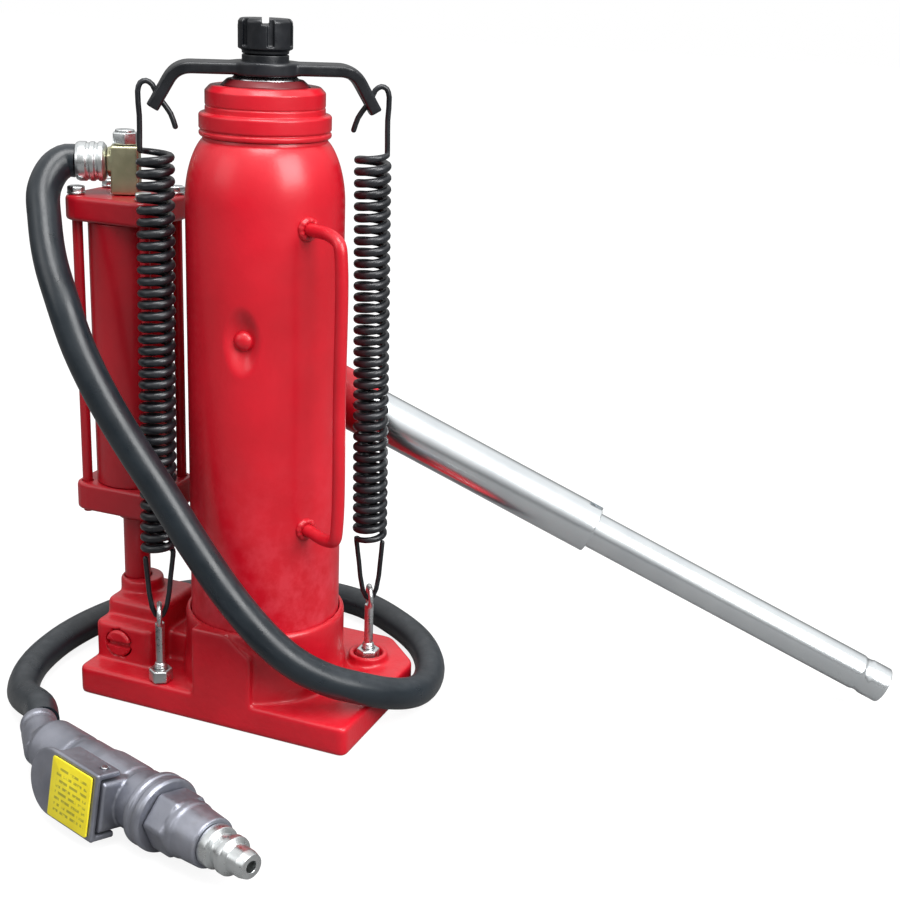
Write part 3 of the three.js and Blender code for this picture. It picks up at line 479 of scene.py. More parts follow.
def lamp(name, place, target, size, power):
    """A square area lamp that faces its target."""
    light = bpy.data.lights.new(name, "AREA")
    light.size = size
    light.energy = power
    made = bpy.data.objects.new(name, light)
    axes = axes_along(np.asarray(place, float) - np.asarray(target, float))
    turn = np.eye(4)
    turn[:3, :3] = axes.T
    turn[:3, 3] = place
    made.matrix_world = Matrix(turn.tolist())
    bpy.context.scene.collection.objects.link(made)


lamp("key_lamp", (1.45, -0.5, 1.15), (0, 0, 0.15), 1.1, 33)
lamp("fill_lamp", (-0.9, -1.2, 0.9), (0, 0, 0.15), 0.8, 3)
lamp("top_lamp", (0.2, -0.45, 1.7), (0, 0, 0.15), 0.8, 20)
world = bpy.data.worlds.new("sky")
world.use_nodes = True
sky = world.node_tree
backdrop = sky.nodes["Background"]
backdrop.inputs["Color"].default_value = (1, 1, 1, 1)
path = sky.nodes.new("ShaderNodeLightPath").outputs["Is Camera Ray"]
look = sky.nodes.new("ShaderNodeTexCoord").outputs["Generated"]
height = sky.nodes.new("ShaderNodeSeparateXYZ")
sky.links.new(look, height.inputs[0])
shade = sky.nodes.new("ShaderNodeMapRange")
horizon, overhead = 0.0, 0.6
horizon_light, overhead_light = 0.07, 0.95
for place, value in enumerate((horizon, overhead, horizon_light, overhead_light), 1):
    shade.inputs[place].default_value = value
sky.links.new(height.outputs["Z"], shade.inputs[0])
white = sky.nodes.new("ShaderNodeMath")
white.operation = "MAXIMUM"
sky.links.new(path, white.inputs[0])
sky.links.new(shade.outputs[0], white.inputs[1])
sky.links.new(white.outputs[0], backdrop.inputs["Strength"])
scene.world = world
print("stage is set")

# %% [markdown]
# ## Effects that several finishes share
#
# Three effects turn up again and again, so each is a node group that is built once. Worn edges are
# found from how sharply the surface bends, broken up by noise; their lighter colour is partly wear
# and partly a painted highlight. Settled dust is found from where the surface faces up. Drawn grain
# is noise that is stretched along one direction of the piece, as on a ground bar or a rolled tube.


# %% Building node groups
def new_group(name, inputs, outputs):
    """An empty shader node group with float or colour sockets; returns it with its two ends."""
    group = bpy.data.node_groups.new(name, "ShaderNodeTree")
    for label, kind, value in inputs:
        socket = group.interface.new_socket(label, in_out="INPUT", socket_type="NodeSocket" + kind)
        socket.default_value = value
    for label, kind in outputs:
        group.interface.new_socket(label, in_out="OUTPUT", socket_type="NodeSocket" + kind)
    return group, group.nodes.new("NodeGroupInput"), group.nodes.new("NodeGroupOutput")


def feed(tree, socket, value):
    """Links a socket to another node's output, or sets it to a plain value."""
    if isinstance(value, bpy.types.NodeSocket):
        tree.links.new(value, socket)
    else:
        socket.default_value = value


def node(tree, kind, settings=None, **inputs):
    """A node with its inputs filled by name, with underscores for spaces, or by place as i0, i1."""
    made = tree.nodes.new("ShaderNode" + kind)
    for key, value in (settings or {}).items():
        setattr(made, key, value)
    for key, value in inputs.items():
        by_place = key[0] == "i" and key[1:].isdigit()
        feed(tree, made.inputs[int(key[1:]) if by_place else key.replace("_", " ")], value)
    return made


def noise(tree, place, scale, detail=3.0, roughness=0.55):
    return node(tree, "TexNoise", Vector=place, Scale=scale, Detail=detail,
                Roughness=roughness).outputs["Fac"]


def scaled(tree, value, low, high, to_low=0.0, to_high=1.0):
    """The value's range from low to high carried over to another range, and held inside it."""
    made = node(tree, "MapRange", i0=value, i1=low, i2=high, i3=to_low, i4=to_high)
    return made.outputs[0]


def product(tree, one, two):
    return node(tree, "Math", {"operation": "MULTIPLY"}, i0=one, i1=two).outputs[0]


def total(tree, one, two):
    return node(tree, "Math", {"operation": "ADD"}, i0=one, i1=two).outputs[0]


def blended(tree, share, one, two):
    """Colour one where share is 0, and colour two where it is 1."""
    made = node(tree, "Mix", {"data_type": "RGBA"}, i0=share, i6=one, i7=two)
    return made.outputs[2]


# %% Worn edges with a painted highlight, settled dust and drawn grain
def build_edge_wear_and_highlight():
    group, start, end = new_group("edge_wear_and_highlight", [
        ("Place", "Vector", (0, 0, 0)), ("Sharpness", "Float", 0.53), ("Patch Scale", "Float", 90.0),
        ("Amount", "Float", 0.6)], [("Mask", "Float")])
    # The mask marks sharp edges for a lighter colour: partly wear, partly a painted highlight.
    bend = node(group, "NewGeometry").outputs["Pointiness"]
    edge = node(group, "MapRange", i0=bend, i1=start.outputs["Sharpness"], i2=0.62)
    patch = noise(group, start.outputs["Place"], start.outputs["Patch Scale"], 5.0, 0.65)
    patchy = scaled(group, patch, 0.42, 0.62)
    mask = product(group, product(group, edge.outputs[0], patchy), start.outputs["Amount"])
    group.links.new(mask, end.inputs["Mask"])
    return group


def build_dust():
    group, start, end = new_group("settled_dust", [
        ("Place", "Vector", (0, 0, 0)), ("Amount", "Float", 0.15)], [("Mask", "Float")])
    facing = node(group, "NewGeometry").outputs["Normal"]
    height = node(group, "SeparateXYZ", Vector=facing).outputs["Z"]
    level = scaled(group, height, 0.35, 0.95)
    specks = scaled(group, noise(group, start.outputs["Place"], 160.0, 6.0, 0.7), 0.4, 0.75)
    mask = product(group, product(group, level, specks), start.outputs["Amount"])
    group.links.new(mask, end.inputs["Mask"])
    return group


def build_grain():
    group, start, end = new_group("drawn_grain", [
        ("Place", "Vector", (0, 0, 0)), ("Stretch", "Vector", (1500.0, 1500.0, 25.0)),
        ("Tilt", "Vector", (0.0, 0.0, 0.0))],
        [("Height", "Float"), ("Tone", "Float")])
    lines = node(group, "Mapping", {"vector_type": "POINT"}, Vector=start.outputs["Place"],
                 Rotation=start.outputs["Tilt"], Scale=(1.0, 1.0, 1.0)).outputs[0]
    long = node(group, "VectorMath", {"operation": "MULTIPLY"}, i0=lines,
                i1=start.outputs["Stretch"]).outputs[0]
    height = noise(group, long, 1.0, 4.0, 0.6)
    tone = noise(group, start.outputs["Place"], 45.0, 3.0, 0.5)
    group.links.new(height, end.inputs["Height"])
    group.links.new(tone, end.inputs["Tone"])
    return group


edge_wear_and_highlight, settled_dust, drawn_grain = build_edge_wear_and_highlight(), build_dust(), build_grain()
print("shared effects:", [group.name for group in bpy.data.node_groups])

# %% [markdown]
# ## Finishes
#
# The jack's castings and tubes are sprayed with a thick gloss enamel. Over a casting the enamel
# shows the lumps of the sand below it, and over a drawn tube only a faint orange peel. The springs,
# the crossbar and the saddle are blackened steel. Bright parts are ground or zinc plated, the
# valve is a satin die casting, and the hose is smooth rubber with a bluish bloom.


# %% Starting a finish
def begin(name):
    """A new material with its tree, its shader and the piece's own coordinates."""
    made = bpy.data.materials.new(name)
    made.use_nodes = True
    tree = made.node_tree
    shader = tree.nodes["Principled BSDF"]
    place = tree.nodes.new("ShaderNodeTexCoord").outputs["Object"]
    return made, tree, shader, place


def call(tree, group, **inputs):
    """The shared group, placed in a material with its own values."""
    made = tree.nodes.new("ShaderNodeGroup")
    made.node_tree = group
    for key, value in inputs.items():
        feed(tree, made.inputs[key.replace("_", " ")], value)
    return made.outputs


def set_colour(tree, shader, colour):
    tree.links.new(colour, shader.inputs["Base Color"])


def set_rough(tree, shader, value, low, high):
    tree.links.new(scaled(tree, value, 0.3, 0.7, low, high), shader.inputs["Roughness"])


def set_bump(tree, shader, height, depth, strength=1.0):
    """Height from 0 to 1 stands for a relief of that depth in millimetres."""
    bump = node(tree, "Bump", Height=height, Distance=depth * mm, Strength=strength)
    tree.links.new(bump.outputs["Normal"], shader.inputs["Normal"])


# %% Enamel
def enamel(name, colour, deep, wear_and_highlight_colour, lump=0.0, rough=(0.34, 0.5), coat=0.5, dust=0.04):
    """Gloss paint: two tones in soft clouds, orange peel, and lumps where it covers a casting."""
    made, tree, shader, place = begin(name)
    cloud = scaled(tree, noise(tree, place, 22.0, 4.0), 0.35, 0.68)
    base = blended(tree, cloud, deep, colour)
    wear_and_highlight = call(tree, edge_wear_and_highlight, Place=place, Sharpness=0.535, Patch_Scale=110.0, Amount=0.55)
    grime = call(tree, settled_dust, Place=place, Amount=dust)
    # Sharp edges take a lighter red: partly worn paint, partly a painted highlight.
    base = blended(tree, wear_and_highlight["Mask"], base, wear_and_highlight_colour)
    base = blended(tree, grime["Mask"], base, (0.62, 0.42, 0.4, 1))
    set_colour(tree, shader, base)
    set_rough(tree, shader, noise(tree, place, 70.0, 4.0), *rough)
    peel = product(tree, noise(tree, place, 620.0, 2.0), 0.16)
    sand = product(tree, noise(tree, place, 240.0, 4.0, 0.6), lump)
    set_bump(tree, shader, total(tree, peel, sand), 0.35)
    shader.inputs["Coat Weight"].default_value = coat
    shader.inputs["Coat Roughness"].default_value = 0.24
    shader.inputs["Specular IOR Level"].default_value = 0.34
    return made


# %% Bright and blackened metals
def bright(name, colour, shade, rough=(0.2, 0.36), stretch=(900.0, 900.0, 18.0), tilt=(0, 0, 0),
           depth=0.012, metallic=1.0, spots=0.0, stain=(0.3, 0.27, 0.22, 1)):
    """Bare metal: two tones, fine lines along the piece, and faint stains where handled."""
    made, tree, shader, place = begin(name)
    grain = call(tree, drawn_grain, Place=place, Stretch=stretch, Tilt=tilt)
    base = blended(tree, scaled(tree, grain["Tone"], 0.35, 0.7), colour, shade)
    blot = product(tree, scaled(tree, noise(tree, place, 130.0, 6.0, 0.7), 0.56, 0.78), spots)
    base = blended(tree, blot, base, stain)
    set_colour(tree, shader, base)
    set_rough(tree, shader, grain["Height"], *rough)
    set_bump(tree, shader, grain["Height"], depth)
    shader.inputs["Metallic"].default_value = metallic
    return made


def blackened(name):
    """Black oxide under oil: nearly black, with grey on sharp edges, partly rubbed bright and partly a
    painted highlight.
    """
    made, tree, shader, place = begin(name)
    tone = scaled(tree, noise(tree, place, 60.0, 5.0), 0.35, 0.7)
    base = blended(tree, tone, (0.004, 0.005, 0.007, 1), (0.014, 0.016, 0.02, 1))
    wear_and_highlight = call(tree, edge_wear_and_highlight, Place=place, Sharpness=0.54, Patch_Scale=200.0, Amount=0.5)
    # Grey on sharp edges: partly rubbed-bright wear, partly a painted highlight.
    set_colour(tree, shader, blended(tree, wear_and_highlight["Mask"], base, (0.09, 0.095, 0.105, 1)))
    set_rough(tree, shader, noise(tree, place, 180.0, 4.0), 0.26, 0.42)
    set_bump(tree, shader, noise(tree, place, 700.0, 4.0), 0.05)
    shader.inputs["Metallic"].default_value = 0.15
    shader.inputs["Specular IOR Level"].default_value = 0.6
    return made


# %% Rubber and the printed plate
def rubber(name, colour, shade, rough, sheen):
    """Soft black rubber: two tones, settled dust, a fine moulded grain and a faint sheen."""
    made, tree, shader, place = begin(name)
    base = blended(tree, scaled(tree, noise(tree, place, 30.0, 5.0), 0.35, 0.7), colour, shade)
    grime = call(tree, settled_dust, Place=place, Amount=0.2)
    set_colour(tree, shader, blended(tree, grime["Mask"], base, (0.12, 0.13, 0.14, 1)))
    set_rough(tree, shader, noise(tree, place, 120.0, 4.0), *rough)
    set_bump(tree, shader, noise(tree, place, 1100.0, 3.0), 0.05)
    shader.inputs["Sheen Weight"].default_value = sheen
    shader.inputs["Sheen Roughness"].default_value = 0.4
    return made


def plate_print(name):
    """Yellow plate with faint grey rules, where an instruction plate would carry its lines."""
    made, tree, shader, place = begin(name)
    soft = scaled(tree, noise(tree, place, 90.0, 5.0), 0.35, 0.7)
    base = blended(tree, soft, (0.8, 0.66, 0.015, 1), (0.9, 0.77, 0.03, 1))
    flat = node(tree, "UVMap", {"uv_map": "plate"}).outputs["UV"]
    rule = node(tree, "TexBrick", {"offset": 0.37}, Vector=flat, Color1=(0, 0, 0, 1),
                Color2=(0, 0, 0, 1), Mortar=(1, 1, 1, 1), Scale=1.0, Brick_Width=0.26,
                Row_Height=0.1, Mortar_Size=0.03, Mortar_Smooth=0.2).outputs["Fac"]
    sides = node(tree, "SeparateXYZ", Vector=flat)
    inside = product(tree, scaled(tree, sides.outputs["X"], 0.1, 0.12),
                     scaled(tree, sides.outputs["X"], 0.88, 0.9, 1.0, 0.0))
    inside = product(tree, inside, product(tree, scaled(tree, sides.outputs["Y"], 0.1, 0.12),
                                           scaled(tree, sides.outputs["Y"], 0.88, 0.9, 1.0, 0.0)))
    dark = product(tree, scaled(tree, rule, 0.1, 0.6, 1.0, 0.0), inside)
    patch = scaled(tree, noise(tree, place, 420.0, 2.0), 0.36, 0.48)
    band = node(tree, "Math", {"operation": "PINGPONG"}, i0=sides.outputs["Y"], i1=0.05).outputs[0]
    dark = product(tree, product(tree, dark, patch), scaled(tree, band, 0.018, 0.026, 0.0, 0.7))
    set_colour(tree, shader, blended(tree, dark, base, (0.2, 0.2, 0.03, 1)))
    set_rough(tree, shader, noise(tree, place, 160.0, 3.0), 0.35, 0.5)
    set_bump(tree, shader, noise(tree, place, 800.0, 3.0), 0.02)
    return made


# %% The finishes themselves
handle_tilt = Matrix(axes_along(joint_axis("handle_pull")).tolist()).to_euler()
red_casting = enamel("red_casting", (0.58, 0.004, 0.016, 1), (0.43, 0.002, 0.01, 1),
                     (0.72, 0.07, 0.1, 1), lump=0.75)
red_tube = enamel("red_tube", (0.6, 0.004, 0.017, 1), (0.48, 0.002, 0.011, 1),
                  (0.72, 0.07, 0.1, 1), lump=0.08)
# The motor carries the same red enamel as the rest of the jack; its darker red is painted shade.
red_motor_painted_shade = enamel("red_motor_painted_shade", (0.46, 0.004, 0.014, 1), (0.34, 0.002, 0.01, 1),
                   (0.6, 0.06, 0.08, 1), lump=0.2)
dark_red = enamel("dark_red", (0.16, 0.004, 0.009, 1), (0.1, 0.003, 0.006, 1),
                  (0.3, 0.04, 0.05, 1), rough=(0.4, 0.55), coat=0.2)
black_steel = blackened("black_steel")
ground_steel = bright("ground_steel", (0.6, 0.61, 0.62, 1), (0.5, 0.51, 0.53, 1))
zinc_tube = bright("zinc_tube", (0.86, 0.9, 0.92, 1), (0.76, 0.8, 0.83, 1), rough=(0.2, 0.28),
                   stretch=(260.0, 260.0, 6.0), tilt=handle_tilt, depth=0.004, spots=0.06)
zinc_part = bright("zinc_part", (0.76, 0.79, 0.8, 1), (0.6, 0.62, 0.62, 1), rough=(0.22, 0.4),
                   stretch=(300.0, 300.0, 300.0), depth=0.02, spots=0.3)
olive_brass = bright("olive_brass", (0.56, 0.54, 0.36, 1), (0.44, 0.42, 0.26, 1), rough=(0.28, 0.45),
                     stretch=(260.0, 260.0, 260.0), depth=0.03, spots=0.35)
die_cast = bright("die_cast", (0.34, 0.35, 0.4, 1), (0.22, 0.23, 0.27, 1), rough=(0.34, 0.52),
                  stretch=(420.0, 420.0, 420.0), depth=0.05, metallic=0.85, spots=0.25)
hose_rubber = rubber("hose_rubber", (0.006, 0.01, 0.014, 1), (0.012, 0.018, 0.024, 1),
                     (0.26, 0.38), 0.03)
seal_rubber = rubber("seal_rubber", (0.015, 0.015, 0.015, 1), (0.03, 0.03, 0.03, 1),
                     (0.5, 0.7), 0.1)
yellow_print = plate_print("yellow_print")
finish_of = {"red_paint": red_casting, "red_wiper": dark_red, "black_steel": black_steel,
             "bright_steel": ground_steel, "zinc_plate": zinc_part, "brass_fitting": olive_brass,
             "cast_zinc": die_cast, "hose_rubber": hose_rubber, "seal_rubber": seal_rubber,
             "yellow_plate": yellow_print}
print("materials:", len(bpy.data.materials))

# %% [markdown]
# ## Handing a fine piece to the frame
#
# Each fine piece takes the place of one node of the frame: it moves with the same body, takes its
# finish from the same slot, and the plain node is no longer shown.


# %% Standing in for a node
def added(made, node_name, finish=None):
    """A piece that goes with a node, such as a weld: the same body, and the finish of the node's slot or
    another.
    """
    made.data.materials.clear()
    made.data.materials.append(finish or finish_of[slot_of[node_name]])
    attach(made, frame["nodes"][node_name]["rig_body"])
    return made


def stand_in(made, node_name, finish=None):
    """A piece that goes with a node and is shown in its place."""
    added(made, node_name, finish)
    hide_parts(node_name)
    return made


print("slots in the frame:", sorted(set(slot_of.values())))

# %% [markdown]
# ## The air hose
#
# The hose is about 14 mm thick and about three quarters of a metre long. It leaves the fitting on
# top of the air motor, falls across the front of the bottle, lies round the right end of the base
# and behind it, and comes back along the floor to the lever valve. Its line is chosen point by
# point in metres, and a smooth curve runs through the points. The hose was not dropped
# in a simulation, because one chosen lie is wanted and the curve gives it every time.

# %% The hose's line
hose_radius = 7.2
hose_route = np.array([
    [-0.089217, -0.008775, 0.243],
    [-0.092715, -0.010714, 0.243],
    [-0.0955, -0.0155, 0.240],
    [-0.0960, -0.0230, 0.2315],
    [-0.0910, -0.0300, 0.2195],
    [-0.0835, -0.0375, 0.205],
    [-0.0740, -0.0435, 0.190],
    [-0.0635, -0.0470, 0.170],
    [-0.0505, -0.0490, 0.150],
    [-0.0370, -0.0495, 0.1315],
    [-0.0230, -0.0490, 0.113],
    [-0.0075, -0.0480, 0.091],
    [0.0095, -0.0460, 0.0685],
    [0.0250, -0.0415, 0.050],
    [0.0360, -0.0365, 0.0395],
    [0.0470, -0.0285, 0.031],
    [0.0580, -0.0180, 0.0245],
    [0.0670, -0.0050, 0.018],
    [0.0715, 0.0120, 0.012],
    [0.0700, 0.0300, 0.0085],
    [0.0640, 0.0480, 0.0076],
    [0.0505, 0.0675, 0.0076],
    [0.0300, 0.0840, 0.0076],
    [0.0040, 0.0970, 0.0076],
    [-0.0220, 0.0990, 0.0076],
    [-0.0480, 0.0920, 0.0076],
    [-0.0760, 0.0740, 0.0076],
    [-0.0960, 0.0500, 0.0076],
    [-0.1060, 0.0220, 0.0076],
    [-0.1090, -0.0080, 0.0076],
    [-0.1040, -0.0380, 0.0076],
    [-0.0910, -0.0620, 0.0085],
    [-0.066598, -0.081455, 0.0155],
    [-0.058569, -0.090373, 0.0155],
])
hose_line = evenly(flowing(hose_route / mm, 12), 420)
hose = as_object("rubber_hose", drawn(hose_line, hose_radius, sides=28, dome=False))
stand_in(hose, "air_hose")
print("hose length:", round(length_of(hose_line)), "mm")

# %% [markdown]
# ### The ends of the hose
#
# A crimped ferrule holds the hose on the motor's elbow. Real ferrules are pressed in a few narrow
# bands, which leave shallow grooves round them.

# %% Ferrule and elbow
port_aim = unit(hose_route[1] - hose_route[0])
port_axes = axes_along(port_aim)
motor_x, motor_y = centre("motor_barrel")[:2]
motor_centre = (motor_x, motor_y, 0)
elbow_low = ends_of("elbow_fitting")[0]
port_height = hose_route[0][2] / mm
port_place = np.array([motor_x, motor_y, port_height])
nose_reach = 7.8
ferrule_length = 13.0
ferrule_start = nose_reach + 0.3
ferrule_profile = [(0, 0), (7.0, 0), (8.6, 1.3), (8.6, 3.2), (8.0, 3.6), (8.0, 4.6), (8.6, 5.0),
                   (8.6, 6.8), (8.0, 7.2), (8.0, 8.2), (8.6, 8.6), (8.6, 11.6),
                   (7.9, ferrule_length), (0, ferrule_length)]
ferrule = as_object("crimped_ferrule", put(turned(ferrule_profile, 0.35),
                                           port_place + port_aim * ferrule_start, port_axes))
stand_in(ferrule, "hose_ferrule")

port_turn = math.degrees(math.atan2(-port_aim[1], -port_aim[0]))
head_half = 6.3
head_top = port_height + 7.5
cap_top = ends_of("motor_cap")[1]
elbow_head = put(spun(block((-head_half, -head_half, cap_top + 0.3), (head_half, head_half, head_top),
                            corner=1.6, rim=1.0), port_turn), motor_centre)
elbow_nose = put(pressed(hexagon(11.6), 0, nose_reach, rim=0.7), port_place, port_axes)
elbow_boss = put(disc(6.0, 4.0, 7.0, 0.8), port_place, port_axes)
elbow_stub = put(disc(5, elbow_low, cap_top + 2), motor_centre)
elbow = cast("brass_elbow", [elbow_head, elbow_nose, elbow_boss, elbow_stub], square=0.35, relax=2)
stand_in(elbow, "elbow_fitting")

cap_low = ends_of("swivel_cap")[0]
cap = machined("fitting_cap", [put(spun(pressed(hexagon(10.0), cap_low, cap_low + 5.2, rim=0.5),
                                        port_turn), motor_centre),
                               put(disc(4.2, cap_low + 4.5, cap_low + 6.4, 0.6), motor_centre)])
stand_in(cap, "swivel_cap")
print("port stands", port_height, "mm above the floor")

# %% [markdown]
# ## The lever valve
#
# At the far end of the hose is the valve that the user holds. Its body is a die casting with a
# round barrel, an inlet for the hose and a lug for the lever's pin. The lever is a wide
# pressed channel that carries a small plate. A collar, a hexagon adaptor and a ringed nipple
# follow, and the shop's air line snaps on to the nipple.

# %% The directions of the valve
pin_centre = centre("lever_pin")
valve_aim = unit((centre("coupler_nipple") - centre("valve_collar")) * [1, 1, 0])
valve_out = unit(-joint_axis("stem_press"))
valve_left = np.cross(valve_out, valve_aim)
lever_pin_along, lever_pin_out = 60.0, 14.0
valve_place = pin_centre - lever_pin_along * valve_aim - lever_pin_out * valve_out
valve_axes = np.array([valve_aim, valve_left, valve_out])
valve_turning = np.array([valve_left, valve_out, valve_aim])
inlet_aim = unit(hose_route[-1] - hose_route[-2]) * [1, 1, 0]


def in_valve(shape):
    return put(shape, valve_place, valve_axes)


def round_in_valve(profile, fillet=0.4, closed=False):
    return put(turned(profile, fillet, closed=closed), valve_place, valve_turning)


# %% Valve body
valve_radius = 12.5
barrel = round_in_valve([(0, 4), (9.5, 4), (11.5, 8), (11.5, 26), (11.0, 27), (11.0, 29), (11.5, 30),
                         (11.5, 40), (valve_radius, 46), (valve_radius, 62), (valve_radius - 0.7, 63),
                         (valve_radius - 0.7, 65), (valve_radius, 66), (valve_radius, 74), (0, 74)])
lug = in_valve(block((54, -10.5, 0), (66, 10.5, 18), 2.0, 0.8))
inlet = put(turned([(0, -14), (7.8, -14), (7.8, -11), (7.0, -10), (7.0, -8), (7.8, -7), (7.8, 10),
                    (0, 10)]), valve_place, axes_along(inlet_aim))
pin_hole = put(disc(1.8, -20, 20), pin_centre, axes_along(valve_left))
stem_place = (38, 0, 0)
stem_hole = in_valve(put(disc(2.3, 2, 30), stem_place))
valve = cast("valve_casting", [barrel, lug, inlet], [pin_hole, stem_hole], square=0.5)
stand_in(valve, "valve_body")

stem = as_object("brass_stem", in_valve(put(disc(2.0, 5, 18.2, 0.6), stem_place)))
stand_in(stem, "valve_stem")
lever_bolt = as_object("lever_bolt", put(turned([(0, -14.5), (1.5, -14.5), (1.5, 14.5), (0, 14.5)], 0.4),
                                         pin_centre, axes_along(valve_left)))
stand_in(lever_bolt, "lever_pin")
print("valve body has", len(valve.data.polygons), "faces")

# %% [markdown]
# ### The lever and its plate
#
# The lever is pressed from sheet: a plate with a round free end, and two cheeks that hold the pin.
# The skin of squares joins the three and rounds them. The yellow plate on it would carry printed
# lines, so it gets its own flat coordinates, which its finish reads.

# %% Lever: a channel with a round free end
lever_half, lever_nose = 14.0, 37.0
round_end = np.linspace(math.pi / 2, 1.5 * math.pi, 28)
lever_outline = np.concatenate([
    np.stack([lever_nose + lever_half * np.cos(round_end), lever_half * np.sin(round_end)], -1),
    softened([(65, -lever_half), (65, lever_half)], 2.0)])
lever_plate = in_valve(pressed(lever_outline, 18.6, 20.8, rim=0.9))
cheeks = [in_valve(block((38, low, 10.0), (65, low + 2.6, 19.0), 1.0, 0.5))
          for low in (-lever_half, lever_half - 2.6)]
lever = cast("pressed_lever", [lever_plate, *cheeks], [pin_hole], square=0.42, relax=3)
stand_in(lever, "valve_lever")
print("lever has", len(lever.data.polygons), "faces")

# %% The plate on the lever
plate_low, plate_high = np.array([38.0, -12.4, 21.1]), np.array([63.0, 12.4, 21.8])
plate = as_object("lever_plate", in_valve(block(plate_low, plate_high, 1.2, 0.2)))
corners = np.empty(len(plate.data.loops), int)
plate.data.loops.foreach_get("vertex_index", corners)
points = np.empty(len(plate.data.vertices) * 3)
plate.data.vertices.foreach_get("co", points)
local = (points.reshape(-1, 3) / mm - valve_place) @ valve_axes.T
share = (local - plate_low) / (plate_high - plate_low)
plate.data.uv_layers.new(name="plate").data.foreach_set(
    "uv", share[corners][:, :2].ravel().astype(np.float32))
stand_in(plate, "label_plate")
print("plate measures", (plate_high - plate_low).round(1), "mm")

# %% Collar, adaptor and nipple
collar = as_object("valve_ring", round_in_valve(
    [(0, 74.3), (14.1, 74.3), (15.1, 75.3), (15.1, 77.2), (14.5, 77.8), (14.5, 79.4), (15.1, 80.0),
     (15.1, 82.3), (14.1, 83.3), (0, 83.3)]))
stand_in(collar, "valve_collar")
hexagon_part = put(pressed(hexagon(22.4, 1.4), 83.6, 94.6, rim=1.0), valve_place, valve_turning)
cone = round_in_valve([(0, 93.6), (11.4, 93.6), (11.4, 97), (10.8, 98), (10.4, 104), (10.0, 109.6),
                       (0, 109.6)], 0.6)
adaptor = cast("hexagon_adaptor", [hexagon_part, cone], square=0.42, relax=2)
stand_in(adaptor, "hex_adaptor")
nipple = as_object("ringed_nipple", round_in_valve(
    [(2.4, 109.9), (8.4, 109.9), (8.4, 113.9), (6.2, 114.9), (6.2, 117.9), (7.8, 118.9), (7.8, 121.4),
     (5.6, 122.9), (5.6, 127.9), (4.8, 130.9), (2.4, 130.9)], 0.35, closed=True))
stand_in(nipple, "coupler_nipple")
print("valve points along", valve_aim.round(3))

# %% [markdown]
# ## The base casting
#
# The base is one lump of cast iron: a thick plate that spreads the load, a round collar for the
# bottle, a block in front of it with a slanted shoulder, and a block at the left end that carries
# the air motor's column and holds the release valve. A skin of squares wraps them all.

# %% Base
base_low, base_high = extent("base_casting")
plate_top = 14.0
seat_high, collar_high = 41.0, 47.0
bottle_radius = radius_of("bottle")
collar_radius = bottle_radius + 2.6
left, right, front, back = -78.0, base_high[0], base_low[1], base_high[1]
cut_corner = 20.0
plan = softened([(left, front), (right, front), (right, back - cut_corner), (right - cut_corner, back),
                 (left + cut_corner, back), (left, back - cut_corner)], 4.0, closed=True)
pump_x, pump_y = centre("pump_cylinder")[:2]
pump_centre = (pump_x, pump_y, 0)
foot_x, foot_y = centre("fulcrum_pin")[:2]
post_centre = (foot_x, foot_y, 0)


def upright(outline, near, far, rim=0.8):
    """An outline in X and Z, pushed back from near to far along Y."""
    points, faces = pressed(outline, -far, -near, rim)
    return points[:, [0, 2, 1]] * [1, -1, 1], faces


front_block = upright(softened([(-17, 1), (12.8, 1), (12.8, 37), (-0.2, 46.5), (-17, 46.5)], 1.5,
                               closed=True), front, front + 22)
motor_block_x = -61.0
base_shapes = [
    pressed(plan, 0, plate_top, rim=1.8),
    turned([(0, 1), (collar_radius + 1.2, 1), (collar_radius + 1.2, 20), (collar_radius, 26),
            (collar_radius, collar_high - 1.5), (collar_radius - 1.2, collar_high),
            (0, collar_high)], 1.0, sides=128),
    front_block,
    put(pressed(rectangle(-15.5, 15.5, -24, 24, 4), 13, 33, rim=2.2), (motor_block_x, motor_y - 4, 0)),
    put(pressed(rectangle(-15.5, 15.5, -17, 17, 5), 24, 41, rim=3.0), (motor_block_x, motor_y - 2, 0)),
    put(disc(10.1, 14, 47, 1.5), (motor_x + 2.5, motor_y, 0)),
    block((motor_x, -12, 1), (0, 16, 28), 2.0, 2.0),
    put(disc(10.5, 1, 26, 1.5), pump_centre),
    put(disc(6.5, 1, 18, 1.0), post_centre)]
eye_places = {side: centre(side + "_eye_nut")[:2] for side in ("left", "right")}
release_place = np.array([motor_x + 7, motor_y - 28, 23.5])
into_front = np.array([[1.0, 0, 0], [0, 0, -1.0], [0, 1.0, 0]])
base_shapes.append(put(ring(9.4, 6.9, 12, 18.5, 0.9), (*eye_places["right"], 0)))
base_cutters = [
    disc(bottle_radius + 0.3, seat_high - 0.3, 60, 0.1, sides=128),
    disc(21.3, 26, seat_high, 0.1),
    put(disc(7.8, 10, 34, 0.1), pump_centre),
    put(disc(6.4, 18, 54, 0.1), motor_centre),
    put(disc(4.3, 9, 22, 0.1), post_centre),
    put(disc(5.3, 0, 20, 0.1), release_place, into_front),
    put(disc(7.1, -4, 8, 0.1), release_place, into_front)]
for x, y in eye_places.values():
    base_cutters.append(put(disc(3.3, 5, 22, 0.1), (x, y, 0)))
base = cast("base_block", base_shapes, base_cutters, square=0.85, relax=3)
stand_in(base, "base_casting", red_casting)
print("base has", len(base.data.polygons), "faces")

# %% [markdown]
# ## The bottle and what stands in it
#
# The bottle is a drawn steel tube whose shoulder closes in to the neck along a curve that lies a
# little inside a quarter of an ellipse. In its front a shallow dish is pressed for the filler plug.
# The dish is worked out as part of the surface: both walls move in by a smooth hollow round the
# plug's place.

